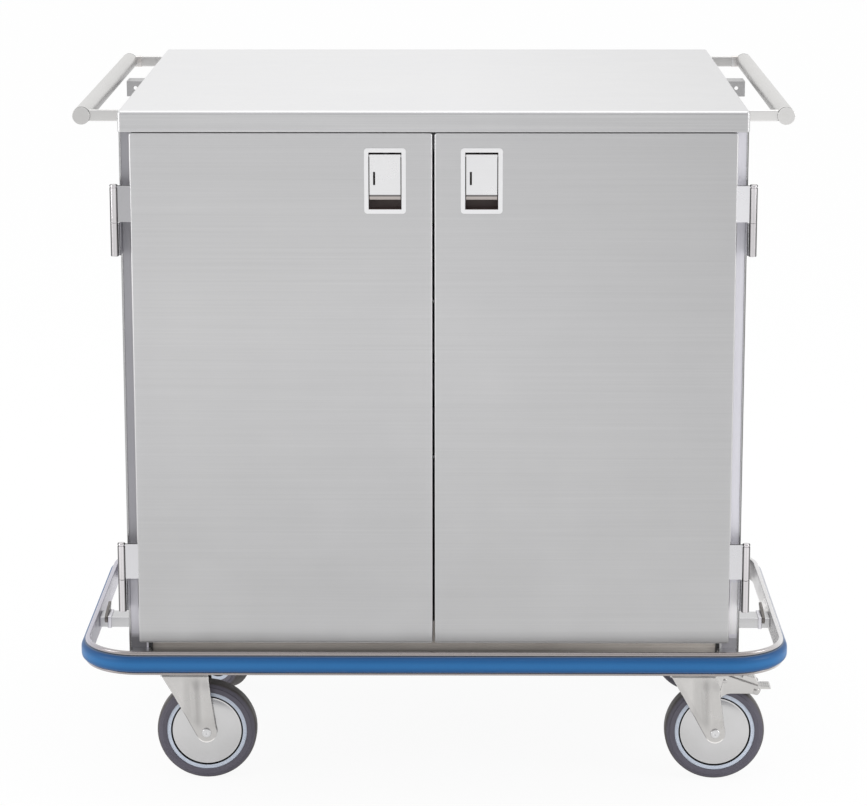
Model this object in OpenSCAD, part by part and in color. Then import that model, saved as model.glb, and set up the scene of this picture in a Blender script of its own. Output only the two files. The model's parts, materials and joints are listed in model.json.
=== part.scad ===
// Closed surgical case cart: a stainless cabinet with two lift-off doors, a bumper
// ring, side push handles and four swivel casters, two of them with brakes.
// The origin is on the floor under the middle of the cart. +X is to the right of a
// person facing the doors, +Y is from the doors towards the back, +Z is up.

/* [Cabinet] */
// Width of the top panel over its folded rim
top_w = 900; // [760:10:1200]
// Depth of the top panel over its folded rim
top_d = 756; // [660:6:960]
// Height from the floor to the top surface
cart_h = 1050; // [950:10:1400]
// Height of the rim folded down round the top panel
rim_h = 30.5; // [24:0.5:50]
// Radius of the top panel's upright corners
top_corner_r = 3; // [1:0.5:4]
// Thickness of the cabinet's stainless sheet
sheet_t = 1.5; // [1:0.1:2]
// Width of each front post
post_w = 31; // [24:1:45]
// Depth of each front post
post_t = 30; // [20:1:45]
// Height of the header rail below the top panel
header_h = 58.5; // [45:0.5:90]
// Height of the cabinet floor above the cabinet's underside
floor_rise = 73; // [62:1:110]
// How far the sill's face lies behind the posts' faces
sill_recess = 6; // [2:1:12]

/* [Doors] */
// Thickness of a door
door_t = 26; // [24:1:40]
// Sheet of the door skins and liners
door_sheet = 1.2; // [0.8:0.1:1.6]
// Gap between the two doors
door_gap = 3; // [2.5:0.5:6]
// Gap between the doors and the top panel's rim
door_top_gap = 2.5; // [2:0.5:5]
// Gap between the doors and the front posts behind them
door_back_gap = 2; // [1.5:0.5:4]
// How far a door's outer edge lies inside the cabinet's side
door_side_inset = 14.5; // [12:0.5:24]
// Height of the doors' lower edges above the cabinet's underside
door_rise = 50; // [46:1:60]
// Radius of a door's corners
door_corner_r = 4; // [2:0.5:8]

/* [Hinges] */
// Outer diameter of a hinge barrel
hinge_d = 12.5; // [11:0.5:14]
// Diameter of a hinge pin
hinge_pin_d = 7; // [5:0.5:8]
// Running clearance round every pin and trunnion, on the radius
fit = 0.05; // [0.02:0.01:0.08]
// Length of the upper barrel, which lifts off with the door
hinge_door_l = 55.5; // [45:0.5:70]
// Length of the lower barrel, which stays on the cabinet
hinge_frame_l = 49; // [40:1:60]
// Length of the pin above the lower barrel
hinge_pin_l = 40; // [30:1:42]
// Distance of the hinge axis outside the cabinet's side
hinge_out = 8.5; // [8:0.5:12]
// Distance of the hinge axis behind the doors' outer faces
hinge_back = 2; // [0:0.5:4]
// Thickness of the hinge leaves
leaf_t = 3; // [2:0.5:3]
// Depth of the leaf on the cabinet's side
leaf_reach = 50; // [44:1:60]
// Height of the lower hinge's split above the doors' lower edges
hinge_low = 96; // [80:1:140]
// Distance of the upper hinge's split below the doors' upper edges
hinge_high = 128; // [100:1:180]

/* [Latches] */
// Distance of a latch's middle from the cart's middle
latch_x = 69; // [50:1:120]
// Width of the latch flange
latch_w = 59.5; // [56:0.5:80]
// Height of the latch flange
latch_h = 94.5; // [90:0.5:120]
// Distance of the flange's upper edge below the door's upper edge
latch_drop = 20; // [16:1:60]
// Width of the flange round the pocket
latch_border = 6.2; // [4:0.2:7]
// Thickness of the latch flange
latch_flange_t = 1.5; // [1:0.1:2.5]
// Depth of the pocket behind the door's outer face
latch_depth = 15.5; // [13:0.5:18]
// Radius of the flange's corners
latch_corner_r = 4.5; // [2:0.5:6]
// Height of the paddle
paddle_h = 65.5; // [55:0.5:70]
// Gap between the paddle and the pocket's sides
paddle_gap = 1.4; // [0.8:0.1:2]
// Gap between the paddle and the pocket's upper wall
paddle_top_gap = 3; // [2.8:0.1:4]
// Height of the paddle's turned-in lip
paddle_lip_h = 6; // [3:0.5:10]
// Diameter of the paddle's trunnion
trunnion_d = 5; // [4:0.5:6]
// Width of a latch bolt
bolt_w = 12; // [10:0.5:16]
// Thickness of a latch bolt
bolt_t = 5; // [4:0.5:5]
// Distance that a latch bolt draws back
bolt_travel = 8.5; // [6:0.5:9]

/* [Shelves] */
// Height of the lower shelf's runner above the cabinet floor
shelf_low = 235; // [150:5:300]
// Height from the lower shelf's runner to the upper one's
shelf_step = 235; // [150:5:300]
// Gap between a wire shelf and each front post that it is carried in past
shelf_side_gap = 3.5; // [2:0.5:10]
// Depth of a wire shelf
shelf_d = 650; // [560:1:680]
// Diameter of a shelf's frame rods
frame_rod_d = 6; // [5:0.5:8]
// Diameter of a shelf's cross wires
cross_rod_d = 4; // [3:0.5:5]
// Distance between cross wires
cross_pitch = 40; // [25:1:60]

/* [Handles] */
// Diameter of a handle tube
handle_d = 25.4; // [22:0.2:32]
// Wall of a handle tube
handle_wall = 1.6; // [1.2:0.1:3]
// Distance from the top panel's side to the handle's axis
handle_out = 52.5; // [45:0.5:70]
// Height of an arm
arm_h = 16.5; // [12:0.5:20]
// Thickness of an arm
arm_t = 6; // [4:0.5:10]
// Distance from the top panel's front edge to the handle's front end
handle_front = 14; // [5:1:60]
// Distance from the top panel's back edge to the handle's rear end
handle_rear = 93; // [20:1:120]
// Length of tube past each arm
handle_past = 2; // [0:0.5:20]

/* [Bumper] */
// Height of the bumper channel
bumper_h = 34; // [30:0.5:44]
// Height of the bumper's underside above the cabinet's underside
bumper_rise = 9; // [4:1:12]
// Distance from the top panel's side to the bumper's outermost face
bumper_side = 76; // [60:1:110]
// Distance from the doors' outer faces to the bumper's outermost face
bumper_front = 33; // [26:1:60]
// Plan radius of the bumper's outermost face at the corners
bumper_r = 82; // [60:1:120]
// How far the strip's crown stands out of the channel
bumper_crown = 3; // [1:0.5:5]
// How far before the folded-back door's free edge the bumper begins to draw in
flare_lead = 20; // [10:5:60]
// Gap between the cabinet's side and the drawn-in bumper behind the doors
waist_gap = 3.5; // [2:0.5:20]
// Plan radius of the bumper's face where it turns back along the cabinet's side
waist_face_r = 40; // [30:5:80]
// Plan radius of the bumper's outermost face at the rear corners
rear_bumper_r = 40; // [30:1:60]
// Depth of the channel without the crown
channel_d = 10; // [8:0.5:14]
// Sheet of the channel
channel_t = 2; // [1.5:0.5:2.5]
// Height of the lips that hold the strip
channel_lip = 5; // [4:0.5:7]
// Height of a bumper bracket
bracket_h = 21; // [14:1:28]
// Width of a bumper bracket
bracket_w = 35; // [20:1:50]
// Distance of the front side brackets from the cart's middle
bracket_y = 185; // [120:5:240]

/* [Casters] */
// Diameter of a wheel over its tyre
wheel_d = 152.4; // [125:0.1:160]
// Width of a tyre
tyre_w = 32; // [28:1:34]
// Radial thickness of a tyre
tyre_t = 15; // [10:0.5:18]
// Radial height of the wheel's rim ring
ring_t = 6.3; // [4:0.1:8]
// Gap between the rim ring and the hub cover
cover_gap = 1.9; // [1:0.1:3]
// Diameter of an axle
axle_d = 12; // [10:1:14]
// Overall height of a caster
caster_h = 190.5; // [186:0.5:200]
// Horizontal distance from the swivel axis to the axle
trail = 40; // [34:1:46]
// How far the rear casters are swivelled at rest, in degrees
rear_swivel = 50; // [0:5:180]
// Distance of the swivel axes inside the cabinet's sides
caster_inset = 60.5; // [58:0.5:120]
// Distance of the front swivel axes behind the doors' outer faces
caster_setback = 152; // [130:1:200]
// Inside width of a fork
fork_inside = 38; // [36:1:42]
// Sheet of a fork
fork_t = 4.5; // [3:0.5:6]
// Height of the fork crown's underside above the wheel
fork_crown_gap = 11.6; // [8:0.1:13]
// Radius of a fork leg's lower end
fork_end_r = 15.8; // [12:0.1:20]
// Length of a brake from the axle's line to the pedal's tip
brake_l = 84.5; // [80:0.5:92]
// Diameter of the kingpin
kingpin_d = 12; // [10:1:16]
// Diameter of the swivel's lower race cup
race_d = 60; // [50:1:64]
// Length of the caster's top plate, sideways
plate_l = 100; // [96:1:120]
// Width of the caster's top plate, front to back
plate_w = 85; // [82:1:100]
// Thickness of the caster's top plate
plate_t = 5; // [3:0.5:6]
// Diameter of the caster bolts
caster_bolt_d = 8; // [6:1:10]
// Depth of a chassis rail
rail_h = 21.5; // [18:0.5:40]
// Width of a chassis rail
rail_w = 110; // [100:1:140]
// Wall of a chassis rail
rail_t = 3; // [2:0.5:4]

/* [Hidden] */
$fn = 48;
eps = 0.01;

// Heights
body_z0 = caster_h + rail_h;
top_under = cart_h - sheet_t;
rim_z0 = cart_h - rim_h;
floor_z = body_z0 + floor_rise;
header_z0 = top_under - header_h;
door_z0 = body_z0 + door_rise;
door_z1 = rim_z0 - door_top_gap;
door_h = door_z1 - door_z0;

// Planes from front to back, and the cabinet's half width
front_y = -top_d/2;
door_back_y = front_y + door_t;
post_y0 = door_back_y + door_back_gap;
post_y1 = post_y0 + post_t;
back_y1 = top_d/2 - sheet_t;
back_y0 = back_y1 - sheet_t;
side_x = top_w/2 - sheet_t;
post_x = side_x - post_w;

// Door edges and the hinge axis
door_x0 = door_gap/2;
door_x1 = side_x - door_side_inset;
hinge_x = side_x + hinge_out;
hinge_y = front_y + hinge_back;
hinge_zs = [door_z0 + hinge_low, door_z1 - hinge_high];
hinge_gap = 0.2;
hinge_bore_l = hinge_pin_l + 1;
barrel_chamfer = 2;
leaf_margin = 3;
leaf_weld_y = 2;

// Latch
latch_z1 = door_z1 - latch_drop;
latch_z0 = latch_z1 - latch_h;
pocket_z1 = latch_z1 - latch_border;
pocket_z0 = latch_z0 + latch_border;
pocket_hw = latch_w/2 - latch_border;
cup_wall = 1.5;
cup_back_y = front_y + latch_depth;
cutout_gap = 0.15;
paddle_z1 = pocket_z1 - paddle_top_gap;
paddle_z0 = paddle_z1 - paddle_h;
paddle_y = front_y - 0.5;
paddle_t = 2;
paddle_lip_in = 3;
paddle_hw = pocket_hw - paddle_gap;
pivot_y = front_y + 4.5;
pivot_z = paddle_z1 - 2.2;
rib_h = 4;
slot_w = 3;
slot_h = 19;
slot_x = 15.5;
slot_drop = 34.5;
tongue_w = 6;
tongue_t = 3;
bolt_y0 = cup_back_y + cup_wall + 1.5;
tongue_y1 = bolt_y0 + bolt_t - 0.5;
bolt_proud = 1.5;
bolt_low = 25;
window_h = 6.4;
bolt_gap = 0.3;
strike_gap = 1.5;
strike_t = 2;
strike_margin = 25;

// Shelves and their supports
shelf_w = 2*(post_x - shelf_side_gap);
standard_w = 25;
standard_t = 8;
standard_wall = 1.5;
standard_ys = [-260, 300];
standard_lift = 15;
standard_slot_w = 10;
standard_slot_h = 4;
standard_slot_pitch = 50;
runner_ledge = 9;
runner_h = 20;
runner_t = 2;
runner_y0 = post_y1 + 15;
runner_y1 = back_y0 - 10;
runner_zs = [floor_z + shelf_low, floor_z + shelf_low + shelf_step];
wire_bite = 0.8;

// Handles
handle_x = top_w/2 + handle_out;
arm_z1 = cart_h - 0.5;
handle_z = arm_z1 - arm_h/2;
handle_y0 = front_y + handle_front;
handle_y1 = top_d/2 - handle_rear;
cap_t = 1.5;
cap_plug = 10;

// Door catch
catch_gap = 5;
catch_w = 36;
catch_h = 24;
catch_d = 40;
catch_t = 2;
catch_hole_d = 6;
door_tip_y = hinge_y + hinge_x - door_x0;

// Bumper
bumper_z0 = body_z0 + bumper_rise;
bumper_x = top_w/2 + bumper_side;
bumper_y = top_d/2 + bumper_front;
bumper_d = channel_d + bumper_crown;
web_x = bumper_x - bumper_d;
web_y = bumper_y - bumper_d;
straight_x = bumper_x - bumper_r;
straight_y = bumper_y - bumper_r;
web_r = bumper_r - bumper_d;
flare_y = door_tip_y - flare_lead;
waist_r = waist_face_r + bumper_d;
rear_web_x = side_x + waist_gap;
waist_turn = acos(1 - (web_x - rear_web_x)/(web_r + waist_r));
waist_y = flare_y + (web_r + waist_r)*sin(waist_turn);
rear_web_r = rear_bumper_r - bumper_d;
rear_straight_x = rear_web_x - rear_web_r;
rear_straight_y = web_y - rear_web_r;
bracket_z0 = bumper_z0 + 3;
rear_bracket_y = (waist_y + rear_straight_y)/2;
front_bracket_x = side_x - post_w/2;
front_bracket_w = 28;
back_bracket_x = rear_straight_x - front_bracket_w;

// Casters
caster_x = side_x - caster_inset;
caster_y = -front_y - caster_setback;
wheel_r = wheel_d/2;
ring_r1 = wheel_r - tyre_t;
ring_r0 = ring_r1 - ring_t;
cover_r = ring_r0 - cover_gap;
hub_r = 14;
hub_w = fork_inside - 3;
ring_w = tyre_w - 4;
web_w = 8;
cover_t = 1.5;
cover_rise = 3;
crown_z0 = wheel_d + fork_crown_gap;
crown_t = 6;
crown_z1 = crown_z0 + crown_t;
plate_z0 = caster_h - plate_t;
race_gap = 0.2;
race_top_d = race_d - 4;
race_top_h = 7.5;
race_z1 = plate_z0 - race_top_h - race_gap;
kingpin_head_d = 20;
kingpin_head_h = 7;
fork_hw = fork_inside/2 + fork_t;
fork_left = -29.5;
fork_right = 43;
leg_end_from = 205;
leg_end_to = 385;
axle_head_d = 15;
axle_head_h = 3;
bolt_hole_gap = 0.2;
plate_bolt_x = plate_l/2 - 10;
plate_bolt_y = plate_w/2 - 10;
head_af = 13;
head_h = 5.3;
nut_h = 6.5;

// Brake. Its outlines are drawn from above the axle at the wheel's top, for a brake 84.5 long.
brake_unit = brake_l/84.5;
function on_brake(points) = [for (p = points) [trail, wheel_d] + brake_unit*p];
brake_pin = on_brake([[61, -8.4]])[0];
brake_pin_d = 8;
brake_hub_r = 6;
cheek_gap = 0.5;
cheek_points = concat([[trail, crown_z1 - 2]], on_brake([[16, 16.1], [69, -2.4], [67.5, -10],
    [63.5, -15.3], [53, -12.5], [18, -12.5], [9, -17.5], [0, -30]]));
pedal_points = on_brake([[20, 18.2], [40, 11.4], [42, 15.5], [60, 11.5], [62.5, 5.5],
    [66, -2], [67, -8.4], [57, -8.4], [56, 1.5], [19, 15]]);
tab_points = on_brake([[61, -4.8], [84.5, -4.8], [84.5, -8.8], [61, -8.8]]);
tab_inset = 5.5;

// Corner points of a rectangle with rounded corners, centred on the origin
function rounded_points(w, h, r, n = 5) = [
    for (corner = [0:3]) for (i = [0:n])
        let (a = 90*corner + 90*i/n,
             sx = (corner == 0 || corner == 3) ? 1 : -1,
             sy = corner < 2 ? 1 : -1)
        [sx*(w/2 - r) + r*cos(a), sy*(h/2 - r) + r*sin(a)]];

// Points along a circular arc
function arc_points(centre, r, a0, a1, n) = [
    for (i = [0:n]) let (a = a0 + (a1 - a0)*i/n) centre + r*[cos(a), sin(a)]];

// A block given by its lowest and highest corners
module block(low, high) {
    translate(low) cube(high - low);
}

// A plate in the XZ plane with rounded corners, its front face at y
module upright_plate(x0, x1, z0, z1, r, y, t) {
    translate([(x0 + x1)/2, y + t, (z0 + z1)/2]) rotate([90, 0, 0])
        linear_extrude(t) polygon(rounded_points(x1 - x0, z1 - z0, r));
}

// A round bar along Y, centred on the given point of the XZ plane
module bar_y(d, y0, y1, x = 0, z = 0) {
    translate([x, y1, z]) rotate([90, 0, 0]) cylinder(d = d, h = y1 - y0);
}

// An eight-sided wire with flats above and below, of the given width over its flats
module wire_x(d, l) {
    rotate([0, 90, 0]) rotate([0, 0, 22.5])
        cylinder(d = d/cos(22.5), h = l, center = true, $fn = 8);
}

module wire_y(d, l) {
    rotate([0, 0, 90]) wire_x(d, l);
}

// Everything for the left side is the right side mirrored
module on_left() {
    mirror([1, 0, 0]) children();
}

module on_both_sides() {
    children();
    on_left() children();
}

module at_caster(sx, sy) {
    translate([sx*caster_x, sy*caster_y, 0]) children();
}

// Places what swivels with a rear caster, turned about its kingpin
module at_rear_swivel(sx) {
    at_caster(sx, 1) rotate([0, 0, -rear_swivel]) children();
}

module at_each_caster() {
    for (sx = [-1, 1]) for (sy = [-1, 1]) at_caster(sx, sy) children();
}

module top_panel() {
    color("silver") difference() {
        union() {
            difference() {
                translate([0, 0, rim_z0]) linear_extrude(rim_h)
                    polygon(rounded_points(top_w, top_d, top_corner_r));
                block([-side_x, -back_y1, rim_z0 - 1], [side_x, back_y1, top_under]);
            }
            block([-side_x - eps, -back_y1 - eps, rim_z0], [side_x + eps, post_y0, rim_z0 + sheet_t]);
        }
        on_both_sides() bolt_passage(rim_z0 - 1, rim_z0 + sheet_t + 1);
    }
}

// Passage in the rim's return and in the strike for the raised latch bolt
module bolt_passage(z0, z1) {
    hw = bolt_w/2 + strike_gap;
    block([latch_x - hw, bolt_y0 - strike_gap, z0], [latch_x + hw, bolt_y0 + bolt_t + strike_gap, z1]);
}

module latch_strike() {
    x1 = latch_x + strike_margin;
    z0 = rim_z0 + sheet_t;
    color("silver") difference() {
        block([-x1, front_y + 6, z0], [x1, post_y0 - 1, z0 + strike_t]);
        on_both_sides() bolt_passage(z0 - 1, z0 + strike_t + 1);
    }
}

module side_panel() {
    color("gainsboro")
        block([side_x - sheet_t, post_y1, body_z0], [side_x, back_y0, top_under]);
}

module back_panel() {
    color("gainsboro") block([-side_x, back_y0, body_z0], [side_x, back_y1, top_under]);
}

module floor_pan() {
    x1 = side_x - sheet_t;
    color("gainsboro") difference() {
        block([-x1, post_y1, body_z0], [x1, back_y0, floor_z]);
        block([-x1 + sheet_t, post_y1 + sheet_t, body_z0 - 1],
              [x1 - sheet_t, back_y0 - sheet_t, floor_z - sheet_t]);
    }
}

module front_post() {
    color("gainsboro") difference() {
        block([post_x, post_y0, body_z0], [side_x, post_y1, top_under]);
        block([post_x + sheet_t, post_y0 + sheet_t, body_z0 - 1],
              [side_x - sheet_t, post_y1 - sheet_t, top_under + 1]);
    }
}

module header_rail() {
    color("gainsboro") difference() {
        block([-post_x, post_y0, header_z0], [post_x, post_y1, top_under]);
        block([-post_x - 1, post_y0 + sheet_t, header_z0 + sheet_t],
              [post_x + 1, post_y1 + 1, top_under - sheet_t]);
    }
}

module sill_rail() {
    y0 = post_y0 + sill_recess;
    color("gainsboro") difference() {
        block([-post_x, y0, body_z0], [post_x, post_y1, floor_z]);
        block([-post_x - 1, y0 + sheet_t, body_z0 + sheet_t],
              [post_x + 1, post_y1 + 1, floor_z - sheet_t]);
    }
}

// Slotted upright strip on a side panel's inner face
module shelf_standard(y) {
    x1 = side_x - sheet_t;
    z0 = floor_z + standard_lift;
    z1 = header_z0 - standard_lift;
    slots = floor((z1 - z0 - standard_slot_pitch)/standard_slot_pitch);
    difference() {
        block([x1 - standard_t, y - standard_w/2, z0], [x1, y + standard_w/2, z1]);
        block([x1 - standard_t + standard_wall, y - standard_w/2 + standard_wall, z0 - 1],
              [x1 + 1, y + standard_w/2 - standard_wall, z1 + 1]);
        for (i = [0:slots]) translate([0, 0, z0 + standard_slot_pitch*(i + 0.5)])
            block([x1 - standard_t - 1, y - standard_slot_w/2, 0],
                  [x1 - standard_t + standard_wall + 1, y + standard_slot_w/2, standard_slot_h]);
    }
}

module shelf_standards() {
    color("silver") for (y = standard_ys) on_both_sides() shelf_standard(y);
}

// Angle runner whose level leg carries a shelf's side rod
module shelf_runner(z) {
    x1 = side_x - sheet_t - standard_t;
    block([shelf_w/2 - runner_ledge, runner_y0, z - runner_t], [x1, runner_y1, z]);
    block([x1 - runner_t, runner_y0, z - runner_t], [x1, runner_y1, z + runner_h]);
}

module shelf_runners() {
    color("silver") for (z = runner_zs) on_both_sides() shelf_runner(z);
}

// Welded wire shelf resting on its runners
module wire_shelf(z) {
    rod_z = z + frame_rod_d/2;
    wire_z = rod_z + frame_rod_d/2 + cross_rod_d/2 - wire_bite;
    mid_y = (runner_y0 + runner_y1)/2;
    half_x = (shelf_w - frame_rod_d)/2;
    half_y = (shelf_d - frame_rod_d)/2;
    gaps = round(2*half_x/cross_pitch);
    translate([0, mid_y, 0]) {
        for (s = [-1, 0, 1]) translate([0, s*half_y, rod_z])
            wire_x(frame_rod_d, shelf_w);
        for (s = [-1, 1]) translate([s*half_x, 0, rod_z])
            wire_y(frame_rod_d, shelf_d);
        for (i = [1:gaps - 1]) translate([-half_x + 2*half_x*i/gaps, 0, wire_z])
            wire_y(cross_rod_d, shelf_d - cross_rod_d);
    }
}

module shelf_lower() {
    color("lightgray") wire_shelf(runner_zs[0]);
}

module shelf_upper() {
    color("lightgray") wire_shelf(runner_zs[1]);
}

// Lower half of a lift-off hinge: barrel, fixed pin and the leaf on the cabinet's side
module hinge_frame_half() {
    z0 = -hinge_frame_l;
    translate([hinge_x, hinge_y, 0]) {
        translate([0, 0, z0]) cylinder(d = hinge_d, h = hinge_frame_l - hinge_gap);
        translate([0, 0, z0]) cylinder(d = hinge_pin_d, h = hinge_frame_l + hinge_pin_l);
        translate([0, 0, z0 + leaf_margin]) {
            h = hinge_frame_l - 2*leaf_margin;
            block([-hinge_out, leaf_weld_y, 0], [-hinge_out + leaf_t - 0.5, leaf_reach, h]);
            block([-hinge_out, leaf_weld_y, 0], [0, leaf_weld_y + leaf_t, h]);
        }
    }
}

module hinge_frame_halves() {
    color("lightgray") for (z = hinge_zs) on_both_sides() translate([0, 0, z]) hinge_frame_half();
}

// Upper half of a lift-off hinge: capped barrel over the pin and the leaf to the door's edge
module hinge_door_half() {
    reach = hinge_x - door_x1;
    translate([hinge_x, hinge_y, 0]) difference() {
        union() {
            cylinder(d = hinge_d, h = hinge_door_l - barrel_chamfer);
            translate([0, 0, hinge_door_l - barrel_chamfer])
                cylinder(d1 = hinge_d, d2 = hinge_d - 2*barrel_chamfer, h = barrel_chamfer);
            block([-reach, -leaf_t/2, leaf_margin], [0, leaf_t/2, hinge_door_l - 2*leaf_margin]);
        }
        translate([0, 0, -1]) cylinder(d = hinge_pin_d + 2*fit, h = hinge_bore_l + 1);
    }
}

module hinge_door_halves() {
    color("lightgray") for (z = hinge_zs) translate([0, 0, z]) hinge_door_half();
}

// Outer pan of a door, open at the back, with the latch cut-out and the bolt's passage
module door_skin() {
    hw = pocket_hw + cup_wall + cutout_gap;
    color("silver") difference() {
        upright_plate(door_x0, door_x1, door_z0, door_z1, door_corner_r, front_y, door_t);
        block([door_x0 + door_sheet, front_y + door_sheet, door_z0 + door_sheet],
              [door_x1 - door_sheet, door_back_y + 1, door_z1 - door_sheet]);
        block([latch_x - hw, front_y - 1, pocket_z0 - cup_wall - cutout_gap],
              [latch_x + hw, front_y + door_sheet + 1, pocket_z1 + cup_wall + cutout_gap]);
        block([latch_x - bolt_w/2 - bolt_gap, bolt_y0 - bolt_gap, door_z1 - door_sheet - 1],
              [latch_x + bolt_w/2 + bolt_gap, bolt_y0 + bolt_t + bolt_gap, door_z1 + 1]);
    }
}

// Inner sheet that closes the door's back between the skin's flanges
module door_liner() {
    color("gainsboro")
        block([door_x0 + door_sheet, door_back_y - door_sheet, door_z0 + door_sheet],
              [door_x1 - door_sheet, door_back_y, door_z1 - door_sheet]);
}

// Flanged pocket that is let into the door and carries the paddle
module latch_cup() {
    y0 = front_y - latch_flange_t;
    color("lightgray") difference() {
        union() {
            upright_plate(latch_x - latch_w/2, latch_x + latch_w/2, latch_z0, latch_z1,
                          latch_corner_r, y0, latch_flange_t);
            block([latch_x - pocket_hw - cup_wall, y0 + 0.5, pocket_z0 - cup_wall],
                  [latch_x + pocket_hw + cup_wall, cup_back_y + cup_wall, pocket_z1 + cup_wall]);
        }
        block([latch_x - pocket_hw, y0 - 1, pocket_z0], [latch_x + pocket_hw, cup_back_y, pocket_z1]);
        translate([latch_x - latch_w/2, pivot_y, pivot_z]) rotate([0, 90, 0])
            cylinder(d = trunnion_d + 2*fit, h = latch_w);
        block([latch_x - tongue_w/2 - 1, cup_back_y - 1, pivot_z - 10],
              [latch_x + tongue_w/2 + 1, cup_back_y + cup_wall + 1, pivot_z + 2.6]);
    }
}

// Pull paddle: folded plate, trunnion across the pocket and the tongue that draws the bolt.
// slot_side puts the narrow slot to the viewer's left on both doors.
module latch_paddle(slot_side) {
    sx = latch_x + slot_side*slot_x;
    sz = paddle_z1 - slot_drop;
    color("lightgray") difference() {
        union() {
            translate([latch_x - paddle_hw, 0, 0]) rotate([90, 0, 90]) linear_extrude(2*paddle_hw)
                polygon([[paddle_y, paddle_z1], [paddle_y, paddle_z0 + paddle_lip_h],
                         [paddle_y + paddle_lip_in, paddle_z0],
                         [paddle_y + paddle_lip_in + paddle_t, paddle_z0 + 0.5],
                         [paddle_y + paddle_t, paddle_z0 + paddle_lip_h + 1],
                         [paddle_y + paddle_t, pivot_z - rib_h/2], [pivot_y, pivot_z - rib_h/2],
                         [pivot_y, pivot_z + rib_h/2], [paddle_y + paddle_t, pivot_z + rib_h/2],
                         [paddle_y + paddle_t, paddle_z1]]);
            translate([latch_x - pocket_hw - cup_wall, pivot_y, pivot_z]) rotate([0, 90, 0])
                cylinder(d = trunnion_d, h = 2*(pocket_hw + cup_wall));
            block([latch_x - tongue_w/2, pivot_y, pivot_z - tongue_t/2],
                  [latch_x + tongue_w/2, tongue_y1, pivot_z + tongue_t/2]);
        }
        block([sx - slot_w/2, paddle_y - 1, sz - slot_h/2], [sx + slot_w/2, paddle_y + paddle_t + 1, sz + slot_h/2]);
    }
}

// Flat bolt behind the pocket, with a window for the paddle's tongue
module latch_bolt() {
    color("gray") difference() {
        block([latch_x - bolt_w/2, bolt_y0, pivot_z - bolt_low],
              [latch_x + bolt_w/2, bolt_y0 + bolt_t, door_z1 + bolt_proud]);
        block([latch_x - tongue_w/2 - 0.6, bolt_y0 - 1, pivot_z - window_h/2],
              [latch_x + tongue_w/2 + 0.6, bolt_y0 + bolt_t + 1, pivot_z + window_h/2]);
    }
}

module handle_tube() {
    color("lightgray") difference() {
        bar_y(handle_d, handle_y0, handle_y1, handle_x, handle_z);
        bar_y(handle_d - 2*handle_wall, handle_y0 - 1, handle_y1 + 1, handle_x, handle_z);
    }
}

module handle_arms() {
    color("lightgray") for (y = [handle_y0 + handle_past, handle_y1 - handle_past - arm_t])
        on_both_sides() difference() {
            block([top_w/2, y, arm_z1 - arm_h], [handle_x, y + arm_t, arm_z1]);
            bar_y(handle_d, y - 1, y + arm_t + 1, handle_x, handle_z);
        }
}

// Flanged plugs that close the tubes' ends
module handle_caps() {
    bore_d = handle_d - 2*handle_wall;
    color("gray") on_both_sides() {
        bar_y(handle_d, handle_y0 - cap_t, handle_y0, handle_x, handle_z);
        bar_y(bore_d, handle_y0 - eps, handle_y0 + cap_plug, handle_x, handle_z);
        bar_y(handle_d, handle_y1, handle_y1 + cap_t, handle_x, handle_z);
        bar_y(bore_d, handle_y1 - cap_plug, handle_y1 + eps, handle_x, handle_z);
    }
}

// Folded bracket that stands just past the free edge of a door swung right round
module door_catch() {
    y0 = door_tip_y + catch_gap;
    z1 = rim_z0 + catch_h/2 + 2;
    x0 = top_w/2;
    difference() {
        union() {
            block([x0, y0, z1 - catch_h], [x0 + catch_w, y0 + catch_t, z1]);
            block([x0, y0, z1 - catch_t], [x0 + catch_w, y0 + catch_d, z1]);
            block([x0, y0, rim_z0], [x0 + catch_t, y0 + catch_d, z1]);
        }
        bar_y(catch_hole_d, y0 - 1, y0 + catch_t + 1, x0 + catch_w*0.62, z1 - catch_h*0.45);
    }
}

module door_catches() {
    color("lightgray") on_both_sides() door_catch();
}

// Section of the bumper channel: x outwards from the web's inner face, y upwards
module channel_section() {
    polygon([[0, 0], [channel_d, 0], [channel_d, channel_lip], [channel_d - channel_t, channel_lip],
             [channel_d - channel_t, channel_t], [channel_t, channel_t],
             [channel_t, bumper_h - channel_t], [channel_d - channel_t, bumper_h - channel_t],
             [channel_d - channel_t, bumper_h - channel_lip], [channel_d, bumper_h - channel_lip],
             [channel_d, bumper_h], [0, bumper_h]]);
}

// Section of the strip that the lips hold, with its crowned face
module strip_section() {
    nose = bumper_h/2 - channel_lip;
    polygon(concat(
        [[channel_d - channel_t, bumper_h - channel_lip], [channel_d - channel_t, bumper_h - channel_t],
         [channel_t, bumper_h - channel_t], [channel_t, channel_t],
         [channel_d - channel_t, channel_t], [channel_d - channel_t, channel_lip]],
        [for (i = [0:8]) let (u = -1 + i/4)
            [channel_d + bumper_crown*(1 - u*u), bumper_h/2 + nose*u]]));
}

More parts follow.
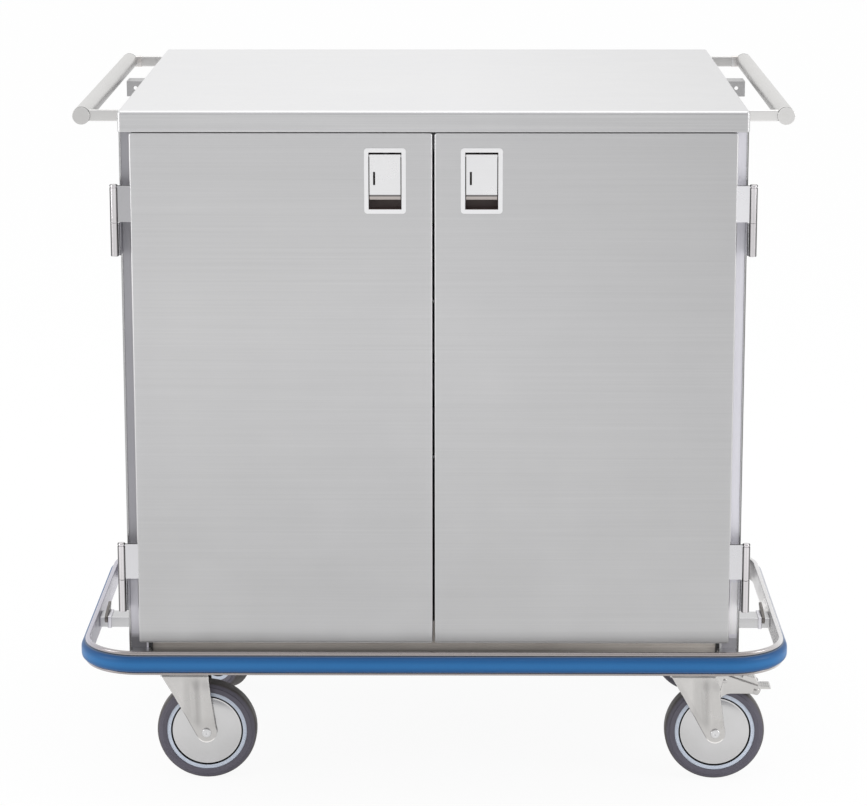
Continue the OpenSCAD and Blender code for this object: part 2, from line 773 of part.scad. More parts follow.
// Carries a bumper section round the cart. It stands out beside the doors that are swung
// right round, and draws in to the cabinet's side behind them.
module round_the_cart() {
    translate([0, 0, bumper_z0]) {
        rotate([0, 0, 180]) translate([-straight_x, web_y, 0]) rotate([90, 0, 90])
            linear_extrude(2*straight_x) children();
        translate([-rear_straight_x, web_y, 0]) rotate([90, 0, 90])
            linear_extrude(2*rear_straight_x) children();
        on_both_sides() {
            translate([straight_x, -straight_y, 0]) rotate([0, 0, 270]) rotate_extrude(angle = 90)
                translate([web_r, 0]) children();
            translate([web_x, flare_y, 0]) rotate([90, 0, 0])
                linear_extrude(flare_y + straight_y) children();
            translate([straight_x, flare_y, 0]) rotate_extrude(angle = waist_turn)
                translate([web_r, 0]) children();
            translate([straight_x + (web_r + waist_r)*cos(waist_turn), waist_y, 0])
                rotate([0, 0, 180]) rotate_extrude(angle = waist_turn)
                    translate([waist_r, 0]) mirror([1, 0]) children();
            translate([rear_web_x, rear_straight_y, 0]) rotate([90, 0, 0])
                linear_extrude(rear_straight_y - waist_y) children();
            translate([rear_straight_x, rear_straight_y, 0]) rotate_extrude(angle = 90)
                translate([rear_web_r, 0]) children();
        }
    }
}

module bumper_channel() {
    color("silver") round_the_cart() channel_section();
}

module bumper_strip() {
    color("steelblue") round_the_cart() strip_section();
}

// Stubs that carry the bumper from the cabinet's sides, posts and back
module bumper_brackets() {
    z1 = bracket_z0 + bracket_h;
    hw = front_bracket_w/2;
    color("silver") on_both_sides() {
        block([side_x, -bracket_y - bracket_w/2, bracket_z0], [web_x, -bracket_y + bracket_w/2, z1]);
        block([side_x, rear_bracket_y - bracket_w/2, bracket_z0],
              [rear_web_x, rear_bracket_y + bracket_w/2, z1]);
        block([front_bracket_x - hw, -web_y, bracket_z0], [front_bracket_x + hw, post_y0, z1]);
        block([back_bracket_x - hw, back_y1, bracket_z0], [back_bracket_x + hw, web_y, z1]);
    }
}

// Bolt places of one caster, measured from its swivel axis
module at_plate_bolts() {
    for (sx = [-1, 1]) for (sy = [-1, 1])
        translate([sx*plate_bolt_x, sy*plate_bolt_y, 0]) children();
}

module chassis_rails() {
    color("gainsboro") for (s = [-1, 1]) difference() {
        block([-side_x, s*caster_y - rail_w/2, caster_h], [side_x, s*caster_y + rail_w/2, body_z0]);
        block([-side_x - 1, s*caster_y - rail_w/2 + rail_t, caster_h + rail_t],
              [side_x + 1, s*caster_y + rail_w/2 - rail_t, body_z0 - rail_t]);
        for (sx = [-1, 1]) at_caster(sx, s) at_plate_bolts() translate([0, 0, caster_h - 1])
            cylinder(d = caster_bolt_d + 2*bolt_hole_gap, h = rail_t + 2);
    }
}

// Top plate, upper race and kingpin of a caster
module caster_plate() {
    difference() {
        translate([0, 0, plate_z0]) linear_extrude(plate_t)
            polygon(rounded_points(plate_l, plate_w, 6));
        at_plate_bolts() translate([0, 0, plate_z0 - 1])
            cylinder(d = caster_bolt_d + 2*bolt_hole_gap, h = plate_t + 2);
    }
    translate([0, 0, plate_z0 - race_top_h]) cylinder(d = race_top_d, h = race_top_h + 1);
    translate([0, 0, crown_z0 - race_gap - kingpin_head_h])
        cylinder(d = kingpin_head_d, h = kingpin_head_h);
    translate([0, 0, crown_z0 - kingpin_head_h])
        cylinder(d = kingpin_d, h = plate_z0 - crown_z0 + kingpin_head_h);
}

module caster_plates() {
    color("lightgray") at_each_caster() caster_plate();
}

// Hexagon bolt up through the plate and the rail, with its nut inside the rail
module caster_bolt() {
    translate([0, 0, plate_z0 - head_h]) cylinder(d = head_af/cos(30), h = head_h, $fn = 6);
    translate([0, 0, plate_z0 - 1])
        cylinder(d = caster_bolt_d, h = plate_t + rail_t + nut_h + 3);
    translate([0, 0, caster_h + rail_t]) cylinder(d = head_af/cos(30), h = nut_h, $fn = 6);
}

module caster_bolts() {
    color("gray") at_each_caster() at_plate_bolts() caster_bolt();
}

// Side outline of a fork leg, from the crown down round the axle
module leg_outline() {
    polygon(concat([[fork_right, crown_z1], [fork_left, crown_z1]],
                   arc_points([trail, wheel_r], fork_end_r, leg_end_from, leg_end_to, 12)));
}

// Fork with its race cup. A braked fork has a cheek beside each leg for the pedal's pin.
module caster_fork(braked) {
    color("gainsboro") difference() {
        union() {
            translate([0, fork_hw, 0]) rotate([90, 0, 0]) linear_extrude(2*fork_hw) {
                leg_outline();
                if (braked) polygon(cheek_points);
            }
            translate([0, 0, crown_z0 + 1]) cylinder(d = race_d, h = race_z1 - crown_z0 - 1);
        }
        block([fork_left - 1, -fork_inside/2, -1], [brake_pin[0] + 40, fork_inside/2, crown_z0]);
        if (braked) block([fork_right, -fork_inside/2, -1],
                          [brake_pin[0] + 40, fork_inside/2, plate_z0]);
        translate([0, 0, crown_z0 - 1])
            cylinder(d = kingpin_d + 2*fit, h = plate_z0 - crown_z0 + 2);
        bar_y(axle_d + 2*fit, -fork_hw - 1, fork_hw + 1, trail, wheel_r);
    }
    if (braked) color("gainsboro")
        bar_y(brake_pin_d, -fork_hw - 1, fork_hw + 1, brake_pin[0], brake_pin[1]);
}

// Foot pedal that turns on the pin between the fork's cheeks
module brake_pedal() {
    hw = fork_inside/2 - cheek_gap;
    color("lightgray") difference() {
        union() {
            translate([0, hw, 0]) rotate([90, 0, 0]) linear_extrude(2*hw) polygon(pedal_points);
            bar_y(2*brake_hub_r, -hw, hw, brake_pin[0], brake_pin[1]);
            translate([0, hw - tab_inset, 0]) rotate([90, 0, 0])
                linear_extrude(2*(hw - tab_inset)) polygon(tab_points);
        }
        bar_y(brake_pin_d + 2*fit, -hw - 1, hw + 1, brake_pin[0], brake_pin[1]);
    }
}

module caster_axle() {
    color("silver") {
        bar_y(axle_d, -fork_hw - axle_head_h, fork_hw + axle_head_h, trail, wheel_r);
        for (s = [-1, 1]) bar_y(axle_head_d, s > 0 ? fork_hw : -fork_hw - axle_head_h,
                                s > 0 ? fork_hw + axle_head_h : -fork_hw, trail, wheel_r);
    }
}

// Turns a profile drawn as radius and width about the wheel's axle
module about_axle() {
    translate([trail, 0, wheel_r]) rotate([90, 0, 0]) rotate_extrude($fn = 96) children();
}

module tyre() {
    hw = tyre_w/2;
    mid_r = ring_r1 + tyre_t*0.5;
    color("dimgray") about_axle() polygon([
        [ring_r1, -hw + 1], [mid_r, -hw], [mid_r + 1, -hw + 1], [wheel_r - 4.5, -hw + 2.2],
        [wheel_r - 1.2, -hw + 5.5], [wheel_r, -hw + 9], [wheel_r, hw - 9],
        [wheel_r - 1.2, hw - 5.5], [wheel_r - 4.5, hw - 2.2], [mid_r + 1, hw - 1],
        [mid_r, hw], [ring_r1, hw - 1]]);
}

module wheel() {
    color("lightsteelblue") about_axle() {
        translate([ring_r0, -ring_w/2]) square([ring_t, ring_w]);
        translate([hub_r - 1, -web_w/2]) square([ring_r0 - hub_r + 2, web_w]);
        translate([axle_d/2 + fit, -hub_w/2]) square([hub_r - axle_d/2 - fit, hub_w]);
    }
}

// Dished covers on both faces of the wheel, gripped on the hub
module wheel_covers() {
    y0 = ring_w/2 - 1.5;
    profile = [[hub_r, y0 + cover_rise], [cover_r*0.55, y0 + cover_rise], [cover_r - 3, y0 + 0.5],
               [cover_r, y0], [cover_r, y0 - cover_t], [cover_r*0.55, y0 + cover_rise - cover_t],
               [hub_r, y0 + cover_rise - cover_t]];
    color("silver") for (s = [0, 1]) mirror([0, s, 0])
        about_axle() polygon(profile);
}

top_panel();
on_left() side_panel();  // side_panel_left
side_panel();  // side_panel_right
back_panel();
floor_pan();
on_left() front_post();  // front_post_left
front_post();  // front_post_right
header_rail();
sill_rail();
latch_strike();
shelf_standards();
shelf_runners();
shelf_lower();
shelf_upper();
hinge_frame_halves();
on_left() handle_tube();  // handle_tube_left
handle_tube();  // handle_tube_right
handle_arms();
handle_caps();
door_catches();
bumper_channel();
bumper_strip();
bumper_brackets();
chassis_rails();
caster_plates();
caster_bolts();

on_left() door_skin();  // door_skin_left
on_left() door_liner();  // door_liner_left
on_left() hinge_door_halves();  // hinge_door_halves_left
on_left() latch_cup();  // latch_cup_left
on_left() latch_paddle(1);  // latch_paddle_left
on_left() latch_bolt();  // latch_bolt_left
door_skin();  // door_skin_right
door_liner();  // door_liner_right
hinge_door_halves();  // hinge_door_halves_right
latch_cup();  // latch_cup_right
latch_paddle(-1);  // latch_paddle_right
latch_bolt();  // latch_bolt_right

at_caster(-1, -1) caster_fork(false);  // caster_fork_front_left
at_caster(-1, -1) caster_axle();  // caster_axle_front_left
at_caster(-1, -1) tyre();  // tyre_front_left
at_caster(-1, -1) wheel();  // wheel_front_left
at_caster(-1, -1) wheel_covers();  // wheel_covers_front_left
at_caster(1, -1) caster_fork(true);  // caster_fork_front_right
at_caster(1, -1) caster_axle();  // caster_axle_front_right
at_caster(1, -1) tyre();  // tyre_front_right
at_caster(1, -1) wheel();  // wheel_front_right
at_caster(1, -1) wheel_covers();  // wheel_covers_front_right
at_rear_swivel(-1) caster_fork(false);  // caster_fork_rear_left
at_rear_swivel(-1) caster_axle();  // caster_axle_rear_left
at_rear_swivel(-1) tyre();  // tyre_rear_left
at_rear_swivel(-1) wheel();  // wheel_rear_left
at_rear_swivel(-1) wheel_covers();  // wheel_covers_rear_left
at_rear_swivel(1) caster_fork(true);  // caster_fork_rear_right
at_rear_swivel(1) caster_axle();  // caster_axle_rear_right
at_rear_swivel(1) tyre();  // tyre_rear_right
at_rear_swivel(1) wheel();  // wheel_rear_right
at_rear_swivel(1) wheel_covers();  // wheel_covers_rear_right
at_caster(1, -1) brake_pedal();  // brake_pedal_front_right
at_rear_swivel(1) brake_pedal();  // brake_pedal_rear_right
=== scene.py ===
# %% [markdown]
# # A stainless case cart
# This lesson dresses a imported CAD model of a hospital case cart: a closed steel cabinet with two
# doors, a blue bumper ring, push handles and four swivel casters. The CAD model is the frame. It
# says where each piece is and how it moves. Blender gives the pieces their rounded edges and
# their metal, rubber and vinyl. Lengths are written in millimetres here and turned into metres
# when a mesh is made.

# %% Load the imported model
import json

import bmesh
import bpy
import numpy as np
from mathutils import Matrix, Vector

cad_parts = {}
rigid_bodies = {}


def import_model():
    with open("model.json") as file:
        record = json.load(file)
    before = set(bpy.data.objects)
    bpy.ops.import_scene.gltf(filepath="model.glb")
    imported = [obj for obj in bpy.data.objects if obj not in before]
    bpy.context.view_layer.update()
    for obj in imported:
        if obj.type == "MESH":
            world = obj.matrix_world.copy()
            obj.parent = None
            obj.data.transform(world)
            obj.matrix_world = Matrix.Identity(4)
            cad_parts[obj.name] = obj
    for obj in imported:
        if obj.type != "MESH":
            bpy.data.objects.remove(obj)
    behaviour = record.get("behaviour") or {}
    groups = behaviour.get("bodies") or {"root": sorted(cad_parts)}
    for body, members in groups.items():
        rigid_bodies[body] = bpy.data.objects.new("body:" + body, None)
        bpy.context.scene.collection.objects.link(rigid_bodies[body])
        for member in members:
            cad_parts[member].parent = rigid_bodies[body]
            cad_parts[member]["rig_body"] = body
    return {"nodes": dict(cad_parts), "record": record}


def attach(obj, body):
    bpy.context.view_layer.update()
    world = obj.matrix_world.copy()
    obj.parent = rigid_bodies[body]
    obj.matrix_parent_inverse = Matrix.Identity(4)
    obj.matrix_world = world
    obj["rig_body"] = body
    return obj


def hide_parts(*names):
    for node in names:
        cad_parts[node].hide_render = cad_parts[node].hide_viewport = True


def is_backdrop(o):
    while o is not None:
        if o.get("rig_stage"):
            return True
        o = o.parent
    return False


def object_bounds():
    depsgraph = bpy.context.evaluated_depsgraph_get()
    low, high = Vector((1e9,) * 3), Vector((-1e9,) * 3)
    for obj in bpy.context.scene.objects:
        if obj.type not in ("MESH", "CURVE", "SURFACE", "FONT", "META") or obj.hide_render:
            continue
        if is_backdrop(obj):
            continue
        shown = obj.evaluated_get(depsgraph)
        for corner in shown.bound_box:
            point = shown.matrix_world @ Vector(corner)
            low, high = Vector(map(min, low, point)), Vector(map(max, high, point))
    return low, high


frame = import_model()
cad_box = [[float(v) for v in corner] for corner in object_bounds()]
slot_of = {part["node"]: part["material_slot"] for part in frame["record"]["subparts"]}
print("CAD box, metres:", np.round(cad_box, 4).tolist(), "nodes:", len(slot_of))

# %% [markdown]
# ## The camera
# The photograph was taken with a long lens from about four and a half metres, a little above the
# cart, looking down by eleven and a half degrees. The place and the three turns below came from
# a fit of measured edges. The optical axis runs above the middle of the picture, as it does when
# the lower part of a picture is kept and the upper part cropped. A small vertical shift says so.

# %% Camera
CAMERA_PLACE = (0.0334541, -4.6039708, 1.6327191)
PITCH, YAW, ROLL = 0.2011, -0.0079, 0.0007
FOCAL_PX, PICTURE_W, PICTURE_H, AXIS_ROW = 2999.663, 867, 806, 303.6282
SENSOR_MM = 36.0


def camera_matrix():
    """World matrix of the camera. Forward is turned by the yaw and dipped by the pitch, right is
    level, down is their cross product, and the roll turns right and down about forward."""
    forward = np.array([np.sin(YAW)*np.cos(PITCH), np.cos(YAW)*np.cos(PITCH), -np.sin(PITCH)])
    right = np.array([np.cos(YAW), -np.sin(YAW), 0.0])
    down = np.cross(forward, right)
    across = np.cos(ROLL)*right + np.sin(ROLL)*down
    below = np.cos(ROLL)*down - np.sin(ROLL)*right
    matrix = np.eye(4)
    matrix[:3, 0], matrix[:3, 1], matrix[:3, 2] = across, -below, -forward
    matrix[:3, 3] = CAMERA_PLACE
    return Matrix(matrix.tolist())


lens = bpy.data.cameras.new("camera")
lens.sensor_width = SENSOR_MM
lens.lens = FOCAL_PX*SENSOR_MM/PICTURE_W
lens.shift_y = (AXIS_ROW - PICTURE_H/2)/PICTURE_W
lens.clip_end = 200.0
camera = bpy.data.objects.new("camera", lens)
camera.matrix_world = camera_matrix()
bpy.context.collection.objects.link(camera)
bpy.context.scene.camera = camera
bpy.context.scene.view_settings.view_transform = "Standard"
print(f"lens {lens.lens:.1f} mm, shift {lens.shift_y:.4f}")

# %% [markdown]
# ## Nodes in a few words
# A material is a small network of nodes, and so is the world's light. The class below adds a node
# and fills its sockets in a single line, which keeps each finish readable as a recipe. It also
# holds the place of the point that is being shaded: x to the right, y to the back and z up, in
# metres.


# %% Node networks
class Network:
    """The nodes of one material, or of the world. Most methods give the output of what they add."""

    def __init__(self, tree, place="Object"):
        self.tree, self.shader = tree, tree.nodes.get("Principled BSDF")
        self.place = tree.nodes.new("ShaderNodeTexCoord").outputs[place]
        self.x, self.y, self.z = self.node("ShaderNodeSeparateXYZ", {"Vector": self.place}).outputs

    def node(self, kind, inputs=None, **settings):
        """A node of a kind, with its settings and its sockets filled. An input is a value, or
        the output socket of another node, which is then linked."""
        node = self.tree.nodes.new(kind)
        for name, value in settings.items():
            setattr(node, name, value)
        for name, value in (inputs or {}).items():
            if isinstance(value, bpy.types.NodeSocket):
                self.tree.links.new(value, node.inputs[name])
            else:
                node.inputs[name].default_value = value
        return node

    def mix(self, factor, first, second, mode="MIX"):
        """A colour mix. Sockets 6 and 7 of a Mix node are its two colours."""
        return self.node("ShaderNodeMix", {0: factor, 6: first, 7: second}, data_type="RGBA",
                         blend_type=mode).outputs[2]

    def spread(self, value, low, high, from_low=0.0, from_high=1.0):
        """A Map Range node: the value stretched from one span to another."""
        return self.node("ShaderNodeMapRange", {"Value": value, "From Min": from_low,
                         "From Max": from_high, "To Min": low, "To Max": high}).outputs["Result"]

    def math(self, operation, *inputs):
        """One step of arithmetic on numbers."""
        return self.node("ShaderNodeMath", dict(enumerate(inputs)), operation=operation).outputs[0]

    def times(self, first, second):
        """The product of two numbers."""
        return self.math("MULTIPLY", first, second)

    def noise(self, scale, detail, rough, vector=None):
        """A Noise texture, over the place unless a vector is given."""
        return self.node("ShaderNodeTexNoise", {"Vector": vector or self.place, "Scale": scale,
                         "Detail": detail, "Roughness": rough}).outputs["Fac"]

    def stretched(self, scale):
        """The place scaled by axis, so that a texture runs long where the scale is small."""
        return self.node("ShaderNodeMapping", {"Vector": self.place, "Scale": scale}).outputs[0]

    def attribute(self, name):
        """An attribute that the piece's mesh carries."""
        return self.node("ShaderNodeAttribute", attribute_name=name).outputs["Fac"]

    def tinted(self, colour, tint):
        """A colour multiplied by another."""
        return self.mix(1.0, colour, tint, "MULTIPLY")

    def scaled(self, colour, factor):
        """A colour multiplied by one factor."""
        channels = dict.fromkeys(("Red", "Green", "Blue"), factor)
        return self.tinted(colour, self.node("ShaderNodeCombineColor", channels).outputs[0])

    def ramped(self, colour, factor, stops, tint=(1.0, 1.0, 1.0)):
        """A colour multiplied by the grey that a colour ramp gives for a factor. The first two
        stops are the ones that every ramp starts with."""
        ramp = self.node("ShaderNodeValToRGB", {"Fac": factor})
        elements = ramp.color_ramp.elements
        for spot, (where, value) in enumerate(stops):
            stop = elements[spot] if spot < 2 else elements.new(where)
            stop.position, stop.color = where, grey(value, tint)
        return self.tinted(colour, ramp.outputs["Color"])

    def finish(self, colour, rough, metallic=0.0, specular=0.5):
        """Links colour and roughness to the shader and sets two of its constants."""
        self.tree.links.new(colour, self.shader.inputs["Base Color"])
        self.tree.links.new(rough, self.shader.inputs["Roughness"])
        self.shader.inputs["Metallic"].default_value = metallic
        self.shader.inputs["Specular IOR Level"].default_value = specular

    def bump(self, height, strength, distance):
        """Tilts the surface by a height."""
        node = self.node("ShaderNodeBump", {"Height": height, "Strength": strength,
                         "Distance": distance})
        self.tree.links.new(node.outputs[0], self.shader.inputs["Normal"])


# %% Colours and materials
MATERIALS = {}


def grey(value, tint=(1.0, 1.0, 1.0)):
    """A linear colour of one brightness, tinted."""
    return (*[value*t for t in tint], 1.0)


def start_material(name):
    """The network of a fresh material."""
    MATERIALS[name] = bpy.data.materials.new(name)
    MATERIALS[name].use_nodes = True
    return Network(MATERIALS[name].node_tree)


# %% [markdown]
# ## Studio
# The photograph is a catalogue picture: soft light from all round, a white sweep, and a darker
# room behind the camera. Steel shows its surroundings more than its own colour, so the world
# matters as much as the lamps. Here the world is white, and fades to grey in the direction that
# the cart faces. That grey is what the doors mirror, while their rounded edges mirror the white
# sides. Two tall soft lamps stand left and right of the camera and one lies overhead.

# %% World
ROOM_GREY = 0.34


def build_world():
    """World light: white at strength 1, mixed with grey by how far a direction points to the
    camera's side and how low it lies."""
    world = bpy.data.worlds.new("studio")
    world.use_nodes = True
    net = Network(world.node_tree, "Generated")
    toward = net.spread(net.y, 1.0, 0.0, -0.98, -0.45)
    height = net.spread(net.z, 1.0, 0.0, 0.05, 0.75)
    colour = net.mix(net.times(toward, height), grey(1.0), grey(ROOM_GREY, (0.97, 0.98, 1.04)))
    background = net.tree.nodes["Background"]
    background.inputs["Strength"].default_value = 1.0
    net.tree.links.new(colour, background.inputs["Color"])
    bpy.context.scene.world = world


build_world()


# %% Lamps
def soft_lamp(name, place, aim, size, watts):
    """A rectangular area lamp at a place, turned so that its -Z axis points at the aim."""
    light = bpy.data.lights.new(name, "AREA")
    light.shape = "RECTANGLE"
    light.size, light.size_y = size
    light.energy = watts
    lamp = bpy.data.objects.new(name, light)
    back = np.subtract(place, aim)/np.linalg.norm(np.subtract(place, aim))
    side = np.cross((0.0, 0.0, 1.0), back)
    side = side/np.linalg.norm(side)
    turn = np.eye(4)
    turn[:3, 0], turn[:3, 1], turn[:3, 2], turn[:3, 3] = side, np.cross(back, side), back, place
    lamp.matrix_world = Matrix(turn.tolist())
    bpy.context.collection.objects.link(lamp)


soft_lamp("lamp_left", (-2.9, -1.5, 1.5), (0.0, 0.0, 0.6), (1.1, 2.2), 22.0)
soft_lamp("lamp_right", (3.0, -1.2, 1.6), (0.0, 0.0, 0.6), (1.1, 2.2), 25.0)
soft_lamp("lamp_above", (0.2, 0.4, 3.6), (0.0, 0.0, 0.8), (2.6, 2.2), 16.0)

# %% [markdown]
# ## Turning formulas into meshes
# Almost every piece of a cart is a profile carried along a path: a tube is a circle along a
# line, a folded panel is a bend carried round a rectangle, a wheel is a profile turned about an
# axle. So one idea makes nearly all of them. A stack of rings is worked out with numpy as an
# array of rings by points by three coordinates, and neighbouring rings are joined by faces.


# %% Rings and stacks of rings
def rounded_ring(centre, half, radius, steps=8):
    """Points of a rounded rectangle: at each corner, the corner's own centre plus the radius
    times the cosine and sine of an angle that runs through that quarter turn."""
    half = np.asarray(half, float)
    radius = max(min(radius, half.min()), 0.01)
    turn = (np.arange(4)[:, None]*np.pi/2 + np.linspace(0, np.pi/2, steps + 1)).ravel()
    signs = np.repeat([[1, 1], [-1, 1], [-1, -1], [1, -1]], steps + 1, axis=0)
    return centre + signs*(half - radius) + radius*np.stack([np.cos(turn), np.sin(turn)], 1)


def stack_faces(count, size, closed):
    """Faces of a stack: quads between rings k and k+1, and a cap on each end if it isn't closed."""
    ring = np.arange(size)
    rows = np.arange(count if closed else count - 1)[:, None]
    following = (rows + 1) % count
    beside = (ring + 1) % size
    quads = np.stack([rows*size + ring, rows*size + beside, following*size + beside,
                      following*size + ring], axis=-1).reshape(-1, 4)
    caps = [] if closed else [ring[::-1].tolist(), (ring + (count - 1)*size).tolist()]
    return quads.tolist() + caps


def stack(rings, closed=False):
    """A stack of rings as (points, faces). A closed stack joins its last ring to its first."""
    rings = np.asarray(rings, float)
    return rings.reshape(-1, 3), stack_faces(len(rings), rings.shape[1], closed)


def joined(*shapes):
    """Several shapes as one: points one after another, faces counted on from there."""
    points, faces, start = [], [], 0
    for some_points, some_faces in shapes:
        points.append(some_points)
        faces += [[i + start for i in face] for face in some_faces]
        start += len(some_points)
    return np.concatenate(points), faces


def moved(shape, offset):
    """A shape shifted by a vector."""
    return shape[0] + np.asarray(offset, float), shape[1]


def mirrored(shape, axis=0):
    """A shape mirrored in the plane through the origin that is square to an axis."""
    signs = np.ones(3)
    signs[axis] = -1
    return shape[0]*signs, [face[::-1] for face in shape[1]]


def on_both(shape):
    """A shape of the right side together with its mirror image."""
    return joined(shape, mirrored(shape))


SIDES = {"right": lambda shape: shape, "left": mirrored}


# %% Arcs, rounded outlines, turned profiles and blocks
def arc(centre, radius, start, end, steps=6):
    """Points on a circle from one angle to another, in degrees."""
    turn = np.radians(np.linspace(start, end, steps + 1))
    return np.asarray(centre, float) + radius*np.stack([np.cos(turn), np.sin(turn)], 1)


def rounded_outline(points, radius, steps=4):
    """A closed outline with its corners rounded. Each corner C becomes a curve from A to B,
    which lie on its two sides: (1-t) squared A + 2t(1-t) C + t squared B."""
    corner = np.asarray(points, float)
    before, after = np.roll(corner, 1, 0) - corner, np.roll(corner, -1, 0) - corner
    reach_a = np.linalg.norm(before, axis=1, keepdims=True)
    reach_b = np.linalg.norm(after, axis=1, keepdims=True)
    radius = np.broadcast_to(np.reshape(radius, (-1, 1)), (len(corner), 1))
    a = corner + before/reach_a*np.minimum(radius, 0.45*reach_a)
    b = corner + after/reach_b*np.minimum(radius, 0.45*reach_b)
    t = np.linspace(0, 1, steps + 1)[None, :, None]
    return ((1 - t)**2*a[:, None] + 2*t*(1 - t)*corner[:, None] + t**2*b[:, None]).reshape(-1, 2)


def turned(profile, centre, axis, steps=96):
    """A profile of (radius, distance along the axis) turned about an axis: the radius times the
    cosine and sine of the turn in the two other directions."""
    profile = np.asarray(profile, float)
    turn = np.linspace(0, 2*np.pi, steps, endpoint=False)[:, None]
    across = [profile[:, 0]*np.cos(turn), profile[:, 0]*np.sin(turn)]
    along = np.broadcast_to(profile[:, 1], across[0].shape)
    order = {"x": [along, *across], "y": [across[1], along, across[0]], "z": [*across, along]}
    return moved(stack(np.stack(order[axis], -1), closed=True), centre)


PLANES = {"x": [2, 0, 1], "y": [0, 2, 1], "z": [0, 1, 2]}


def standing(ring, depth, axis):
    """A flat ring set square to an axis at a depth."""
    flat = np.column_stack([ring, np.full(len(ring), depth)])
    return flat[:, PLANES[axis]]


EDGE_STEPS = 3


def round_off(low, high, radius):
    """Inset and depth of each ring of a piece whose two ends are rounded: the radius times one
    minus the sine and one minus the cosine of an angle that runs through a quarter turn."""
    quarter = np.radians(np.linspace(0, 90, EDGE_STEPS + 1))
    inset, depth = radius*(1 - np.sin(quarter)), radius*(1 - np.cos(quarter))
    return [*zip(inset, low + depth), *zip(inset[::-1], high - depth[::-1])]


def block(low, high, radius=0.8, axis="z", corner=None):
    """A box with rounded edges: rounded rectangles stacked along an axis."""
    low, high = np.asarray(low, float), np.asarray(high, float)
    keep = {"x": [1, 2], "y": [0, 2], "z": [0, 1]}[axis]
    along = "xyz".index(axis)
    radius = min(radius, 0.49*(high - low).min())
    corner = corner or radius
    centre, half = (low + high)[keep]/2, (high - low)[keep]/2
    rings = [(rounded_ring(centre, half - inset, corner - inset, EDGE_STEPS), depth)
             for inset, depth in round_off(low[along], high[along], radius)]
    return stack([standing(ring, depth, axis) for ring, depth in rings])


def plate(outline, low, high, radius=0.6, axis="y"):
    """An outline given a thickness along an axis. Towards both faces it shrinks along its own
    normals, which rounds the edge. The shoelace sum says which way round the outline runs."""
    outline = np.asarray(outline, float)
    along = np.roll(outline, -1, 0) - np.roll(outline, 1, 0)
    normal = np.stack([along[:, 1], -along[:, 0]], 1)
    normal /= np.maximum(np.linalg.norm(normal, axis=1, keepdims=True), 1e-9)
    (x, y), (next_x, next_y) = outline.T, np.roll(outline, -1, 0).T
    normal *= np.sign(np.sum(x*next_y - next_x*y))
    return stack([standing(outline - normal*inset, depth, axis)
                  for inset, depth in round_off(low, high, radius)])


# %% [markdown]
# ## From shape to piece
# A finished piece needs more than faces: it is shaded smooth up to a crease angle, gets its
# material, rides on the CAD body that it moves with, and stands for the CAD nodes it replaces.
# One function does all of this, so no piece can forget a step. Its second job is the edge
# attribute. It is 1 on the rounded edges of a steel piece, and the materials read it to make those
# edges smoother and lighter: partly the polish that handling gives the metal, partly a painted
# highlight.


# %% Make a piece
CREASE, BEVEL_FROM, FLAT = np.radians([38, 40, 1])
MILLIMETRE, WELD_M, SLIVER_M = 0.001, 2e-6, 1e-6
FULL_BEND = 0.04


def linked(name, mesh):
    """A new object of a mesh, in the scene."""
    obj = bpy.data.objects.new(name, mesh)
    bpy.context.collection.objects.link(obj)
    return obj


def edge_share(mesh):
    """How bent the surface is at each point: one minus the cosine of the widest angle between the
    point's normal and those of its faces, as a share of a full bend's, from 0 to 1."""
    loops = np.empty(len(mesh.loops), np.int64)
    mesh.loops.foreach_get("vertex_index", loops)
    sizes = np.empty(len(mesh.polygons), np.int64)
    mesh.polygons.foreach_get("loop_total", sizes)
    faces = np.empty(len(mesh.polygons)*3)
    mesh.polygons.foreach_get("normal", faces)
    per_loop = np.repeat(faces.reshape(-1, 3), sizes, axis=0)
    total = np.zeros((len(mesh.vertices), 3))
    np.add.at(total, loops, per_loop)
    total /= np.maximum(np.linalg.norm(total, axis=1, keepdims=True), 1e-9)
    bend = np.zeros(len(mesh.vertices))
    np.maximum.at(bend, loops, 1 - np.sum(per_loop*total[loops], axis=1))
    return np.clip(bend/FULL_BEND, 0, 1).astype(np.float32)


def finish_piece(obj, body, material, replaces=()):
    """Shading, material, body and replaced nodes of a piece."""
    mesh = obj.data
    mesh.polygons.foreach_set("use_smooth", np.ones(len(mesh.polygons), bool))
    mesh.set_sharp_from_angle(angle=CREASE)
    mesh.materials.clear()
    mesh.materials.append(MATERIALS[material])
    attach(obj, body)
    if replaces:
        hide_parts(*replaces)
    return obj


def make_piece(name, shape, body, slot, material=None, replaces=(), values=None):
    """A mesh object from (points, faces) in millimetres. Doubled points are merged, which closes
    seams and poles, and the faces are turned outwards. values are attributes by point."""
    points, faces = shape
    mesh = bpy.data.meshes.new(name)
    mesh.from_pydata((points*MILLIMETRE).tolist(), [], faces)
    for key, value in (values or {}).items():
        mesh.attributes.new(key, "FLOAT", "POINT").data.foreach_set(
            "value", np.asarray(value, np.float32))
    work = bmesh.new()
    work.from_mesh(mesh)
    bmesh.ops.remove_doubles(work, verts=work.verts, dist=WELD_M)
    bmesh.ops.dissolve_degenerate(work, dist=SLIVER_M, edges=work.edges)
    bmesh.ops.recalc_face_normals(work, faces=work.faces)
    work.to_mesh(mesh)
    work.free()
    mesh.attributes.new("edge", "FLOAT", "POINT").data.foreach_set("value", edge_share(mesh))
    obj = finish_piece(linked(name, mesh), body, material or slot, replaces)
    weigh = obj.modifiers.new("flat faces stay flat", "WEIGHTED_NORMAL")
    weigh.keep_sharp = True
    print(f"{name}: {len(mesh.polygons)} faces, rides on {body}")
    return obj


